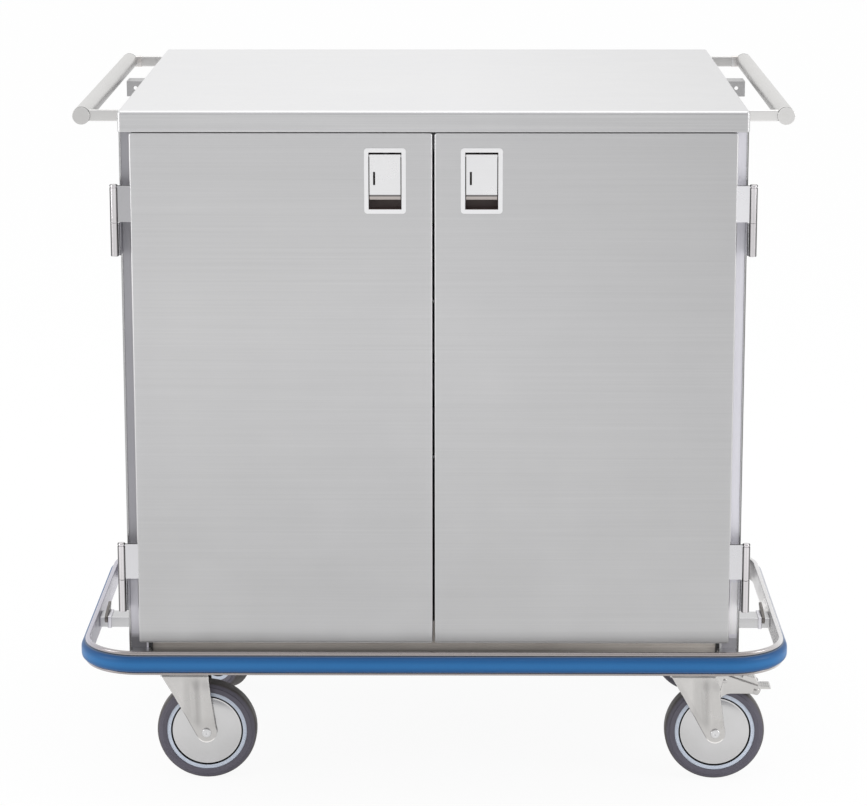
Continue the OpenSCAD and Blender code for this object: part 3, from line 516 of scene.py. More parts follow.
def soften(node, width, material=None):
    """A copy of a CAD node with its edges rounded by a Bevel modifier. The copy's loose
    triangles are merged and its flat faces dissolved first, so that only real edges are cut."""
    source = frame["nodes"][node]
    mesh = source.data.copy()
    work = bmesh.new()
    work.from_mesh(mesh)
    bmesh.ops.remove_doubles(work, verts=work.verts, dist=WELD_M)
    bmesh.ops.dissolve_limit(work, angle_limit=FLAT, verts=work.verts, edges=work.edges)
    work.to_mesh(mesh)
    work.free()
    obj, slot = linked(node + "_soft", mesh), slot_of[node]
    finish_piece(obj, source["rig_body"], material or slot, (node,))
    bevel = obj.modifiers.new("rounded edges", "BEVEL")
    bevel.width, bevel.segments = width*MILLIMETRE, EDGE_STEPS
    bevel.limit_method, bevel.angle_limit = "ANGLE", BEVEL_FROM
    bevel.harden_normals = True
    return obj


# %% [markdown]
# ## Brushed steel
# Stainless sheet is rolled and then brushed in one direction. Close up it is a bundle of fine
# parallel scratches, from a step away a satin grey with faint streaks, and over a metre it is
# cloudy, a little bluer here and warmer there. The recipe has these three scales: long thin noise
# for the scratches, a coarser band of it for the streaks, and round soft noise for the clouds. The
# scratches also tilt the surface a little through a bump. Edges are smoother, and lighter partly
# from the polish of wear and partly from a painted highlight.


# %% Brushed steel
EDGE_ROUGH, SCRATCH_M = 0.22, 0.0004
ACROSS_FROM, FINER = 20, 6


def brushed_steel(name, tone, rough, grain, tint=(1.0, 1.0, 1.015), streak=0.05, cloud=0.05,
                  bump=0.12, edge_polish_and_highlight=1.18, shade=None):
    """A satin metal. grain is the scale by axis: small along the brush marks, large across.
    tone is the linear brightness, and streak and cloud say by what share it varies. shade may
    be a function that changes the finished colour from place to place. Across the
    marks, where the scale is over 20, the scratches are finer than the streaks."""
    net = start_material(name)
    scratches = [g*FINER if g > ACROSS_FROM else g for g in grain]
    fine = net.noise(1.0, 2.0, 0.7, net.stretched(scratches))
    bands = net.noise(1.0, 3.0, 0.65, net.stretched(grain))
    clouds = net.noise(2.3, 2.0, 0.45)
    smudges = net.noise(9.0, 4.0, 0.6)
    edge = net.attribute("edge")
    body = net.mix(clouds, grey(tone*(1 - cloud), tint),
                   grey(tone*(1 + cloud), (tint[0]*1.004, tint[1], tint[2]*0.985)))
    lines = net.math("ADD", fine, bands)
    body = net.scaled(body, net.spread(lines, 1 - streak, 1 + streak, 0.55, 1.45))
    # Edges turn towards a lighter grey: partly the polish of wear, partly a painted highlight.
    polished_and_lit = grey(min(tone*edge_polish_and_highlight, 0.95), tint)
    edged = net.mix(net.spread(edge, 0.0, 0.8), body, polished_and_lit)
    if shade:
        edged = shade(net, edged)
    even = net.spread(smudges, rough - 0.05, rough + 0.05, 0.3, 0.7)
    gloss = net.node("ShaderNodeMix", {0: edge, 2: even, 3: EDGE_ROUGH}).outputs[0]
    net.finish(edged, gloss, 1.0)
    net.bump(lines, bump, SCRATCH_M)


# %% [markdown]
# Light falls unevenly on a cart in a studio. Most functions below paint that light and shade into
# one steel's colour, by where a point lies on the cart. The lilac cast and the weld's heat tints
# are colours of their own.


# %% Shades of the sheets
def right_shade(net, colour):
    """Rim and top: a tenth darker towards the right, where the room had less light."""
    return net.scaled(colour, net.spread(net.x, 1.0, 0.89, 0.04, 0.43))


def lining_shade(net, colour):
    """Panels: the faces inside the cabinet are painted brighter, painted light for an inside that
    the lamps barely reach.
    """
    within = net.spread(net.math("ABSOLUTE", net.x), 1.6, 1.0, 0.4474, 0.4478)
    above = net.spread(net.z, 0.0, 1.0, 0.2840, 0.2845)
    before = net.spread(net.y, 1.0, 0.0, 0.3755, 0.3759)
    return net.mix(net.times(above, before), colour, net.scaled(colour, within))


def door_shade(net, colour):
    """Doors: painted shade, darker towards the right and towards the floor, with a painted dark
    band just above the lower edge, where the bumper is mirrored. The ramp runs over heights from
    0.25 to 1.05 m."""
    colour = net.mix(net.spread(net.z, 0.0, 1.0, 0.3, 0.75), colour, right_shade(net, colour))
    stops = [(0.0, 0.72), (1.0, 1.02), (0.024, 0.72), (0.040, 0.87), (0.10, 0.865), (0.22, 0.89),
             (0.42, 0.965), (0.60, 1.02)]
    return net.ramped(colour, net.spread(net.z, 0.0, 1.0, 0.25, 1.05), stops)


def post_shade(net, colour):
    """Posts: the left one stands with its back to the window and is darker. Just above the sill
    both mirror the bright floor. Below the doors each is darker, with a bright inner edge beside
    the dark joint with the sill."""
    out = net.math("ABSOLUTE", net.x)
    plain = net.scaled(colour, net.spread(net.x, 0.48, 1.0, -0.1, 0.1))
    plain = net.scaled(plain, net.spread(net.z, 0.72, 1.0, 0.2602, 0.2612))
    lit = net.scaled(colour, net.spread(net.x, 0.82, 1.18, -0.1, 0.1))
    band = net.times(net.spread(net.z, 0.0, 1.0, 0.262, 0.268),
                     net.spread(net.z, 1.0, 0.0, 0.345, 0.365))
    foot = net.times(net.spread(net.z, 1.0, 0.0, 0.2605, 0.2610),
                     net.spread(out, 1.0, 0.0, 0.4255, 0.4262))
    edge = net.mix(net.spread(out, 0.0, 1.0, 0.4225, 0.4232), grey(0.06), lit)
    return net.mix(foot, net.mix(band, plain, lit), net.scaled(edge, 1.4))


def sill_shade(net, colour):
    """Sill: painted shade, darkest towards its lower end just above the bumper, which it mirrors
    beneath the doors, and lighter towards the right."""
    low, high = net.spread(net.x, 0.75, 1.8, 0.15, 0.40), net.spread(net.x, 3.0, 4.3, 0.25, 0.40)
    return net.scaled(colour, net.spread(net.z, low, high, 0.239, 0.2485))


def hem_shade(net, colour):
    """Hems of the side panels: darker along their outermost line, most of all at the right."""
    edge = net.scaled(colour, net.spread(net.x, 0.75, 0.35, -0.1, 0.1))
    return net.mix(net.spread(net.math("ABSOLUTE", net.x), 0.0, 1.0, 0.4497, 0.4502), colour, edge)


def rail_shade(net, colour):
    """Bumper channel: darker in front. The sides stay bright, the left one with a lilac cast."""
    front_dark = net.tinted(colour, (0.49, 0.455, 0.445, 1.0))
    lilac = net.tinted(colour, (0.72, 0.71, 0.80, 1.0))
    sides = net.mix(net.spread(net.x, 1.0, 0.0, -0.48, -0.40), colour, lilac)
    return net.mix(net.spread(net.y, 1.0, 0.0, -0.402, -0.34), sides, front_dark)


# %% Shades of the fittings
def crease_shade(net, colour):
    """Paddle: a painted shadow line in the crease, and below it a warm, darker lip, a painted
    reflection.
    """
    lip = net.mix(net.spread(net.z, 1.0, 0.0, 0.9276, 0.9279), colour, (0.50, 0.46, 0.44, 1.0))
    line = net.times(net.spread(net.z, 0.0, 1.0, 0.9270, 0.9274),
                     net.spread(net.z, 0.9, 0.0, 0.9294, 0.9300))
    return net.mix(line, lip, (0.10, 0.09, 0.09, 1.0))


def flank_shade(net, colour):
    """Hinge barrel: dark on both flanks. The attribute flank is the sideways distance from the
    axis as a share of the radius."""
    stops = [(0.0, 0.80), (0.06, 1.0), (0.50, 1.0), (0.66, 0.30), (0.86, 0.07), (1.0, 0.20)]
    return net.ramped(colour, net.attribute("flank"), stops, (1.0, 0.97, 0.98))


def leaf_shade(net, colour):
    """Hinge leaf: darkest at the upper left, brightest at the upper right. The attribute top
    marks the shadow that lies on each upper edge."""
    left, right = net.spread(net.z, 0.80, 0.56, 0.4, 0.9), net.spread(net.z, 0.80, 1.0, 0.4, 0.9)
    plain = net.scaled(colour, net.spread(net.x, left, right, -0.1, 0.1))
    return net.mix(net.attribute("top"), plain, grey(0.06))


def handle_shade(net, colour):
    """Push handle: painted light makes the arms and plugs in front lighter at the right. A mesh
    attribute marks the painted shadow line behind each plug."""
    light = net.scaled(colour, net.spread(net.x, 1.04, 1.25, -0.45, 0.45))
    front = net.spread(net.y, 1.0, 0.0, -0.3555, -0.3550)
    return net.mix(net.attribute("neck"), net.mix(front, colour, light), grey(0.12))


def fork_shade(net, colour):
    """Fork: the attribute lift makes bands lighter or darker, as its name says, by a share."""
    return net.scaled(colour, net.math("ADD", net.attribute("lift"), 1.0))


def weld_shade(net, colour):
    """Weld: the brown and straw tints that heat leaves on stainless steel."""
    patch = net.noise(70.0, 3.0, 0.6)
    return net.mix(net.spread(patch, 0.0, 0.75, 0.3, 0.7), colour, (0.56, 0.49, 0.43, 1.0))


# %% All the steels
ALONG_X, ALONG_Y, ALONG_Z = (2.2, 260.0, 260.0), (260.0, 2.2, 260.0), (260.0, 260.0, 2.2)
brushed_steel("door_steel", 0.615, 0.36, ALONG_X, cloud=0.03, edge_polish_and_highlight=1.5, shade=door_shade)
brushed_steel("top_steel", 0.765, 0.34, ALONG_X, streak=0.03, cloud=0.02, edge_polish_and_highlight=1.0,
              shade=right_shade)
brushed_steel("rim_steel", 0.65, 0.33, ALONG_X, streak=0.09, edge_polish_and_highlight=0.95, shade=right_shade)
brushed_steel("panel_steel", 0.58, 0.36, ALONG_X, shade=lining_shade)
brushed_steel("side_steel", 0.58, 0.36, ALONG_Y, shade=lining_shade)
brushed_steel("post_steel", 0.83, 0.55, ALONG_Z, tint=(1.0, 0.99, 1.06), edge_polish_and_highlight=1.0,
              shade=post_shade)
brushed_steel("hem_steel", 0.46, 0.30, ALONG_Z, streak=0.03, shade=hem_shade)
# The sill's low tone is painted shade: it lies in the shadow beneath the doors.
brushed_steel("sill_steel", 0.22, 0.34, ALONG_X, tint=(1.06, 1.0, 0.94), shade=sill_shade)
brushed_steel("fitting_steel", 0.66, 0.30, (90.0, 90.0, 30.0), tint=(1.0, 0.99, 1.05),
              streak=0.04, bump=0.05)
brushed_steel("hinge_steel", 0.64, 0.14, (60.0, 60.0, 300.0), streak=0.04, bump=0.03,
              shade=flank_shade)
brushed_steel("leaf_steel", 0.80, 0.30, ALONG_Z, tint=(1.0, 0.995, 1.03), streak=0.03,
              shade=leaf_shade)
brushed_steel("catch_steel", 0.46, 0.32, ALONG_Z, streak=0.04)
# inner_steel is painted shade: the header rail and strike behind the doors get a near-black steel
# for the shadow they stand in.
brushed_steel("inner_steel", 0.14, 0.36, ALONG_X)
brushed_steel("latch_steel", 0.93, 0.30, ALONG_X, streak=0.015, cloud=0.01, bump=0.03,
              edge_polish_and_highlight=1.02)
brushed_steel("paddle_steel", 0.88, 0.28, ALONG_X, streak=0.015, cloud=0.01, bump=0.03,
              shade=crease_shade)
brushed_steel("handle_steel", 0.62, 0.38, (500.0, 40.0, 500.0), streak=0.02, bump=0.03,
              tint=(1.01, 1.0, 0.99), shade=handle_shade)
brushed_steel("weld_steel", 0.80, 0.38, (120.0, 120.0, 120.0), shade=weld_shade)
brushed_steel("bumper_steel", 0.72, 0.28, (30.0, 30.0, 260.0), tint=(1.01, 1.0, 1.01),
              streak=0.06, shade=rail_shade)
brushed_steel("clamp_steel", 0.16, 0.34, (90.0, 90.0, 90.0), tint=(1.08, 1.0, 0.95), streak=0.15)
brushed_steel("fork_steel", 0.57, 0.27, (40.0, 40.0, 40.0), tint=(1.015, 0.995, 0.98),
              streak=0.03, bump=0.04, shade=fork_shade)
brushed_steel("bolt_steel", 0.66, 0.16, (80.0, 80.0, 80.0), streak=0.05, bump=0.03)
brushed_steel("shelf_wire", 0.72, 0.16, (60.0, 60.0, 60.0), streak=0.03, bump=0.02)
print("steels:", ", ".join(sorted(MATERIALS)))

# %% [markdown]
# ## Rubber, vinyl, plastic and the dark inside of a pocket
# Not everything is steel. The tyres are a grey elastic rubber whose tread has picked up the
# floor's brown dust. The bumper is a satin blue vinyl, darker where it tucks under the channel's
# lips. The wheel's ring is a pale blue-grey plastic. The hub covers are thin bright discs with
# turning marks, which run in circles and so need the distance from the axle. Each turned piece
# therefore carries that distance as an attribute.


# %% Rubber, vinyl and plastic
def tyre_rubber():
    """Grey rubber. The attribute tread is 1 on the running surface and 0 on the sides."""
    net = start_material("tyre_rubber")
    cloud = net.noise(30.0, 4.0, 0.6)
    speckle = net.noise(900.0, 2.0, 0.6)
    side = net.mix(cloud, grey(0.095, (1.0, 0.93, 1.2)), grey(0.135, (1.0, 0.94, 1.17)))
    tread = net.mix(cloud, grey(0.060, (1.12, 1.0, 0.97)), grey(0.105, (1.10, 1.0, 0.98)))
    dusty = net.mix(net.attribute("tread"), side, tread)
    net.finish(dusty, net.spread(speckle, 0.42, 0.62), specular=0.4)
    net.bump(speckle, 0.15, 0.0003)


def bumper_vinyl():
    """Blue vinyl. The attribute across runs from -1 at the face's lower edge to 1 at its upper
    edge, where a pale line runs. Towards both edges the blue is painted darker, as painted shade
    where the crowned face turns in under the channel's lips. Along the right side the upper half is
    greyer."""
    net = start_material("bumper_vinyl")
    cloud = net.noise(4.0, 3.0, 0.5)
    scuff = net.noise(1.0, 3.0, 0.6, net.stretched((30.0, 30.0, 500.0)))
    middle = net.mix(cloud, (0.008, 0.125, 0.345, 1), (0.020, 0.148, 0.375, 1))
    rim = net.mix(cloud, (0.003, 0.050, 0.165, 1), (0.005, 0.066, 0.205, 1))
    signed = net.attribute("across")
    share = net.math("ABSOLUTE", signed)
    blue = net.mix(net.spread(share, 0.0, 1.0, 0.15, 0.95), middle, rim)
    edged = net.mix(net.spread(signed, 0.0, 0.8, 0.90, 0.97), blue, (0.15, 0.19, 0.25, 1))
    # Beyond the face's upper edge, under the lip, the strip is painted near black as painted shade.
    inside = net.mix(net.spread(signed, 0.0, 1.0, 1.0, 1.02), edged, grey(0.03))
    along_right = net.times(net.spread(net.x, 0.0, 1.0, 0.495, 0.505),
                            net.spread(net.y, 0.0, 1.0, -0.33, -0.25))
    right_grey = net.times(along_right, net.spread(signed, 0.0, 0.85, 0.25, 0.6))
    colour = net.mix(right_grey, inside, (0.50, 0.50, 0.52, 1))
    net.finish(colour, net.spread(scuff, 0.32, 0.46), specular=0.32)
    net.bump(scuff, 0.06, 0.0003)


def wheel_core():
    """Pale blue-grey moulded plastic with a fine mottle, black inside the ring."""
    net = start_material("wheel_core")
    mottle = net.noise(60.0, 4.0, 0.6)
    pale = net.mix(mottle, (0.57, 0.63, 0.74, 1), (0.64, 0.70, 0.80, 1))
    inside = net.spread(net.attribute("radius"), 1.0, 0.0, 0.0550, 0.0554)
    net.finish(net.mix(inside, pale, grey(0.02)), net.spread(mottle, 0.38, 0.52))
    net.bump(net.noise(700.0, 2.0, 0.5), 0.08, 0.0002)


def cover_steel():
    """Bright disc with turning marks: noise that reads only the distance from the axle."""
    net = start_material("cover_steel")
    rings = net.node("ShaderNodeCombineXYZ", {"X": net.attribute("radius")}).outputs[0]
    marks = net.noise(900.0, 3.0, 0.7, rings)
    cloud = net.noise(25.0, 2.0, 0.5)
    bright = net.mix(cloud, grey(0.60, (1.0, 0.995, 0.99)), grey(0.68, (1.0, 0.99, 1.0)))
    colour = net.mix(net.spread(marks, 0.0, 0.25), bright, grey(0.52))
    net.finish(colour, net.spread(marks, 0.14, 0.28), 1.0)
    net.bump(marks, 0.05, 0.0002)


def pocket_black():
    """Blackened inside of the latch pocket, a little brown where the coat is thin."""
    net = start_material("pocket_black")
    patch = net.noise(120.0, 3.0, 0.6)
    colour = net.mix(patch, (0.060, 0.041, 0.037, 1), (0.100, 0.068, 0.062, 1))
    net.finish(colour, net.spread(patch, 0.35, 0.6))


for recipe in (tyre_rubber, bumper_vinyl, wheel_core, cover_steel, pocket_black):
    recipe()
print("materials:", len(MATERIALS))

# %% [markdown]
# ## Floor
# A plain white floor, wide enough to fill every view. Most of what the camera sees of it is its
# own glow, so the sweep stays white. The rest is the light that reaches it, so the cart keeps a
# soft shadow.

# %% Floor
FLOOR_REACH_M = 60.0
GLOW_SEEN, GLOW_MIRRORED = 0.93, 0.58


def build_floor():
    """One large quad at height 0. Seen rays mix a white glow into the diffuse floor."""
    mesh = bpy.data.meshes.new("floor")
    corners = FLOOR_REACH_M*np.array([[-1, -1, 0], [1, -1, 0], [1, 1, 0], [-1, 1, 0]])
    mesh.from_pydata(corners.tolist(), [], [[0, 1, 2, 3]])
    net = start_material("floor_white")
    shader = net.shader
    shader.inputs["Roughness"].default_value = 1.0
    shader.inputs["Specular IOR Level"].default_value = 0.0
    white = net.mix(net.noise(1.5, 2.0, 0.5), grey(0.91), grey(0.93))
    net.tree.links.new(white, shader.inputs["Base Color"])
    glow = net.node("ShaderNodeEmission", {"Color": grey(1.0), "Strength": 1.0})
    path = net.node("ShaderNodeLightPath").outputs
    seen = net.times(path["Is Camera Ray"], GLOW_SEEN)
    mirrored_ray = net.math("MAXIMUM", path["Is Glossy Ray"], path["Is Transmission Ray"])
    share = net.math("MULTIPLY_ADD", mirrored_ray, GLOW_MIRRORED, seen)
    both = net.node("ShaderNodeMixShader", {0: share, 1: shader.outputs[0], 2: glow.outputs[0]})
    net.tree.links.new(both.outputs[0], net.tree.nodes["Material Output"].inputs["Surface"])
    mesh.materials.append(MATERIALS["floor_white"])
    linked("floor", mesh)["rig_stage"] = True


build_floor()

# %% [markdown]
# ## Top panel
# The top is one sheet folded down on all sides into a rim, with its corners welded and ground
# round. As a formula it is a bend carried round a rounded rectangle: each point of the profile
# has an inset from the outermost line and a height, and makes one ring. The rim is a piece of
# its own so that its brush marks can be stronger than the top's.

# %% Top panel
TOP_HALF = np.array([450.0, 378.0])
TOP_Z, RIM_Z, SHEET = 1050.0, 1019.5, 1.5
CORNER_R, FOLD_R = 5.0, 5.0
POST_Y0 = -350.0


def carried_round(profile, half, corner, steps=8):
    """A profile of (inset, height) carried round a rounded rectangle."""
    return [standing(rounded_ring((0, 0), half - inset, corner - inset, steps), height, "z")
            for inset, height in profile]


def fold_arc(radius, start, end):
    """Part of the fold between top and rim: angle 90 is on the top, angle 0 on the rim."""
    return [(FOLD_R - x, TOP_Z - FOLD_R + y) for x, y in arc((0, 0), radius, start, end, 5)]


INNER_FOLD = FOLD_R - SHEET
top_profile = [(30.0, TOP_Z), (8.0, TOP_Z), *fold_arc(FOLD_R, 90, 35),
               *fold_arc(INNER_FOLD, 35, 90), (30.0, TOP_Z - SHEET)]
rim_profile = [*fold_arc(FOLD_R, 35, 0), (0.0, TOP_Z - 8.0), (0.0, RIM_Z + 4.0),
               *[(1.4 - x, RIM_Z + 1.4 - y) for x, y in arc((0, 0), 1.4, 0, 90, 5)],
               (SHEET, RIM_Z + 0.3), (SHEET, TOP_Z - 8.0), *fold_arc(INNER_FOLD, 0, 35)]
make_piece("top_sheet", stack(carried_round(top_profile, TOP_HALF, CORNER_R)), "root",
           "panel_steel", "top_steel", ("top_panel",))
make_piece("top_rim", stack(carried_round(rim_profile, TOP_HALF, CORNER_R), closed=True), "root",
           "panel_steel", "rim_steel")


def rim_return(side, edge=0.2):
    """One half of the strip that closes the rim's front from below. Rings run over its underside
    from the bolt's slot to the outline, round the edge, over its top and through the slot."""
    def outline(inset):
        return rounded_ring((side*223.5, (-375.5 + POST_Y0)/2),
                            np.array([223.5, (POST_Y0 + 375.5)/2]) - inset, 0.6 - inset)
    slot = rounded_ring((side*69.0, -357.0), (7.5, 4.0), 0.5)
    low, high = RIM_Z, RIM_Z + SHEET
    rings = [(slot, low), (outline(edge), low), (outline(0), low + edge),
             (outline(0), high - edge), (outline(edge), high), (slot, high)]
    return stack([standing(ring, height, "z") for ring, height in rings], closed=True)


make_piece("rim_return", joined(rim_return(-1), rim_return(1)), "root", "panel_steel")

# %% [markdown]
# ## Doors
# A door is a shallow pan of thin sheet with its edge folded back all round, and an inner sheet that
# closes it. The fold is tight, but it isn't sharp, and its small radius gives the bright line that
# outlines each door in the picture, which a painted highlight on the door steel's edges
# strengthens. The latch sits in a window of the sheet, so the rings start at the window, run out
# over the face, round the fold, back along the flange and return inside. The left door is the right
# one mirrored.

# %% Doors
FRONT_Y, DOOR_BACK_Y, DOOR_SHEET = -378.0, -352.0, 1.2
DOOR_X, DOOR_Z, DOOR_CORNER = (1.3, 434.0), (260.9, 1018.5), 4.0
LATCH_X, POCKET_HALF_W, POCKET_Z = 69.0, 23.55, (908.7, 990.8)
CUP_CLEAR, DOOR_FOLD = 1.65, 2.6


def door_skin():
    """The right door's pan as a closed stack of rings."""
    centre = np.array([sum(DOOR_X)/2, sum(DOOR_Z)/2])
    half = np.array([DOOR_X[1] - DOOR_X[0], DOOR_Z[1] - DOOR_Z[0]])/2
    hole_half = (POCKET_HALF_W + CUP_CLEAR, (POCKET_Z[1] - POCKET_Z[0])/2 + CUP_CLEAR)
    middle = (LATCH_X, sum(POCKET_Z)/2)
    hole = rounded_ring(middle, hole_half, 1.0)
    near = rounded_ring(middle, np.add(hole_half, 1.5), 2.5)
    fold = [(DOOR_FOLD - x, FRONT_Y + DOOR_FOLD - y)
            for x, y in arc((0, 0), DOOR_FOLD, 90, 0, 8)]
    profile = [(12.0, FRONT_Y), *fold, (0.0, FRONT_Y + 5.0), (0.0, DOOR_BACK_Y - 0.5),
               (0.4, DOOR_BACK_Y), (DOOR_SHEET, DOOR_BACK_Y - 0.2), (DOOR_SHEET, FRONT_Y + 4.2),
               (4.4, FRONT_Y + DOOR_SHEET)]
    rings = [standing(rounded_ring(centre, half - i, max(DOOR_CORNER - i, 0.4)), y, "y")
             for i, y in profile]
    rings = [standing(hole, FRONT_Y, "y"), standing(near, FRONT_Y, "y"), *rings,
             standing(hole, FRONT_Y + DOOR_SHEET, "y")]
    return stack(rings, closed=True)


for side, turn in SIDES.items():
    make_piece(f"door_pan_{side}", turn(door_skin()), f"door_{side}", "door_steel",
               replaces=(f"door_skin_{side}",))
    soften(f"door_liner_{side}", 0.3)

# %% [markdown]
# ## Latches
# Each door has a bright cast flange around a blackened pocket, with a folded paddle in it. The
# CAD shapes are already right here, with the slot, the lip and the tongue that draws the bolt.
# What they lack is rounded edges, so a bevelled copy stands for each. The pocket's inner faces
# get a dark material of their own: they are the faces that lie deeper than the flange.

# %% Latches
def darken_pocket(obj):
    """Gives the second material to the faces whose middle lies behind the door's face."""
    obj.data.materials.append(MATERIALS["pocket_black"])
    middles = np.empty(len(obj.data.polygons)*3)
    obj.data.polygons.foreach_get("center", middles)
    deep = middles.reshape(-1, 3)[:, 1] > (FRONT_Y + 0.4)*MILLIMETRE
    obj.data.polygons.foreach_set("material_index", deep.astype(np.int32))
    return int(deep.sum())


for side in ("left", "right"):
    cup = soften(f"latch_cup_{side}", 0.4)
    print("dark pocket faces:", darken_pocket(cup))
    soften(f"latch_paddle_{side}", 0.5, "paddle_steel")
    soften(f"latch_bolt_{side}", 0.5)

# %% [markdown]
# ## Hinges
# A lift-off hinge is two barrels on one pin. The upper barrel belongs to the door and lifts off
# with it, and the lower one stays on the cabinet. The barrels are turned profiles: radius
# against height, with a rounded shoulder at the top and a fine dark joint between the halves.
# Flat leaves run from them to the door's edge and round the cabinet's side.

# %% Hinges
HINGE_X, HINGE_Y, HINGE_R = 457.0, -376.0, 5.8
HINGE_SPLITS = (358.0, 889.0)


def barrel(low, high, round_low, round_high, groove=None):
    """Turned barrel with a quarter round of the given size at each end and perhaps a groove."""
    cut = [(HINGE_R, groove - 1.0), (HINGE_R - 1.2, groove - 0.5), (HINGE_R - 1.2, groove + 0.5),
           (HINGE_R, groove + 1.0)] if groove else []
    profile = [(0.0, low), *arc((HINGE_R - round_low, low + round_low), round_low, -90, 0, 4), *cut,
               *arc((HINGE_R - round_high, high - round_high), round_high, 0, 90, 5), (0.0, high)]
    return turned(profile, (HINGE_X, HINGE_Y, 0.0), "z", 48)


def flank(shape):
    """Sideways distance of each point from the hinge axis, as a share of the barrel's radius."""
    return np.abs(np.abs(shape[0][:, 0]) - HINGE_X)/HINGE_R


door_barrels = joined(*[barrel(z + 0.2, z + 55.5, 0.4, 1.8, z + 51.6) for z in HINGE_SPLITS])
frame_barrels = joined(*[barrel(z - 49.0, z - 0.4, 1.2, 0.4) for z in HINGE_SPLITS])
door_leaves = joined(*[block((432.4, HINGE_Y - 1.5, z + 0.8),
                             (HINGE_X - 4.0, HINGE_Y + 1.5, z + 54.0), 0.6) for z in HINGE_SPLITS])
frame_leaves = joined(*[block((448.5, -374.0, z - 48.5), (x, y, z - 0.8), 0.5)
                        for z in HINGE_SPLITS for x, y in ((451.0, -326.0), (HINGE_X, -371.0))])
for side, turn in SIDES.items():
    shape = turn(door_barrels)
    make_piece(f"hinge_barrel_{side}", shape, f"door_{side}", "fitting_steel", "hinge_steel",
               (f"hinge_door_halves_{side}",), {"flank": flank(shape)})
    top = [np.isclose(door_leaves[0][:, 2] - z, 54.0, atol=0.4) for z in HINGE_SPLITS]
    make_piece(f"hinge_leaf_{side}", turn(door_leaves), f"door_{side}", "fitting_steel",
               "leaf_steel", values={"top": np.any(top, axis=0)})
shape = on_both(frame_barrels)
make_piece("hinge_posts", shape, "root", "fitting_steel", "hinge_steel", ("hinge_frame_halves",),
           {"flank": flank(shape)})
make_piece("hinge_wraps", on_both(frame_leaves), "root", "fitting_steel")

# %% [markdown]
# ## Push handles
# Each handle is a steel tube along the cart's side, held by two flat arms, with a flat plug in each
# end. The tube and the plugs are turned profiles about an axis along Y. A fine groove lies between
# plug and tube, and a painted shadow on the tube's end beside it gives the dark line seen in the
# picture.

# %% Push handles
HANDLE_X, HANDLE_Z, TUBE_R, BORE_R = 502.5, 1041.25, 12.7, 11.1
TUBE_Y = (-364.0, 285.0)
ARM_YS = ((-362.0, -356.0), (277.0, 283.0))


def tube():
    """Hollow tube with its ends broken by a small round."""
    low, high = TUBE_Y
    profile = [(BORE_R, low), *arc((TUBE_R - 0.5, low + 0.5), 0.5, -90, 0, 3), (TUBE_R, low + 3.5),
               (TUBE_R, low + 5.0), (TUBE_R, high - 5.0), (TUBE_R, high - 3.5),
               *arc((TUBE_R - 0.5, high - 0.5), 0.5, 0, 90, 3), (BORE_R, high)]
    return turned(profile, (HANDLE_X, 0.0, HANDLE_Z), "y", 48)


def plug(end, out):
    """Flat plug at one end of the tube. out is -1 at the front and 1 at the back."""
    rim = [(TUBE_R - 0.6, 0.3), *arc((TUBE_R - 0.6, 1.0), 0.5, 0, 90, 4)]
    profile = [(0.0, -10.0), (BORE_R - 0.1, -10.0), (BORE_R - 0.1, 0.3), *rim, (0.0, 1.5)]
    profile = [(r, end + out*d) for r, d in profile]
    return turned(profile, (HANDLE_X, 0.0, HANDLE_Z), "y", 48)


for side, turn in SIDES.items():
    shape = turn(tube())
    # The tube's last four millimetres at each end carry a painted shadow line beside the plug.
    neck = np.abs(shape[0][:, 1] - sum(TUBE_Y)/2) > (TUBE_Y[1] - TUBE_Y[0])/2 - 4.0
    make_piece(f"push_tube_{side}", shape, "root", "handle_steel",
               replaces=(f"handle_tube_{side}",), values={"neck": neck})
plugs = joined(plug(TUBE_Y[0], -1), plug(TUBE_Y[1], 1))
make_piece("push_plugs", on_both(plugs), "root", "handle_steel", replaces=("handle_caps",))
arms = joined(*[block((450.0, low, 1033.0), (HANDLE_X - 10.5, high, 1049.5), 1.2, "x", 1.6)
                for low, high in ARM_YS])
make_piece("push_arms", on_both(arms), "root", "handle_steel", replaces=("handle_arms",))
low, high = ARM_YS[1]
weld = block((HANDLE_X - 21.0, low - 0.9, 1032.4), (HANDLE_X - 10.0, high + 0.9, 1050.1), 1.2,
             "x", 1.8)
make_piece("push_welds", on_both(weld), "root", "handle_steel", "weld_steel")

# %% [markdown]
# ## Bumper
# A steel channel runs round the cart and holds a blue vinyl strip. Both are closed profiles
# carried along the same line, so they fit by construction. The line stands out beside the doors
# that are swung right round, and draws in to the cabinet's side behind them through two arcs.
# The strip's face is crowned, and its edges dive under the channel's lips, where painted shade
# darkens the blue. Short stubs carry the ring. The two that show end in a flange and a hook.

# %% Bumper
BUMPER_Z, BUMPER_H, CROWN, CHANNEL_D, CHANNEL_T = 220.2, 34.8, 6.2, 6.8, 2.0
LIP_LOW, LIP_HIGH, GROOVE = 3.4, 5.0, 0.9
FRONT_TURN, FLARE_END = (433.0, -318.0), (444.0, 59.5)
WAIST, REAR_TURN = (505.0, 165.155), (425.0, 371.0)
FRONT_R, FLARE_R, WAIST_R, REAR_R, WAIST_ANGLE = 80.0, 69.0, 53.0, 27.0, 60.0


def bumper_line(out, steps=28):
    """Plan of the ring at a distance out from the channel's web: four arcs on the right from
    front to back, then the same ones mirrored on the left from back to front."""
    right = np.vstack([arc(FRONT_TURN, FRONT_R + out, -90, 0, steps),
                       arc(FLARE_END, FLARE_R + out, 0, WAIST_ANGLE, steps),
                       arc(WAIST, WAIST_R - out, 180 + WAIST_ANGLE, 180, steps),
                       arc(REAR_TURN, REAR_R + out, 0, 90, steps)])
    return np.vstack([right, right[::-1]*[-1, 1]])


def ring_road(section):
    """A closed section of (distance out from the web, height) carried round the cart."""
    return stack([standing(bumper_line(x), BUMPER_Z + z, "z") for x, z in section], closed=True)


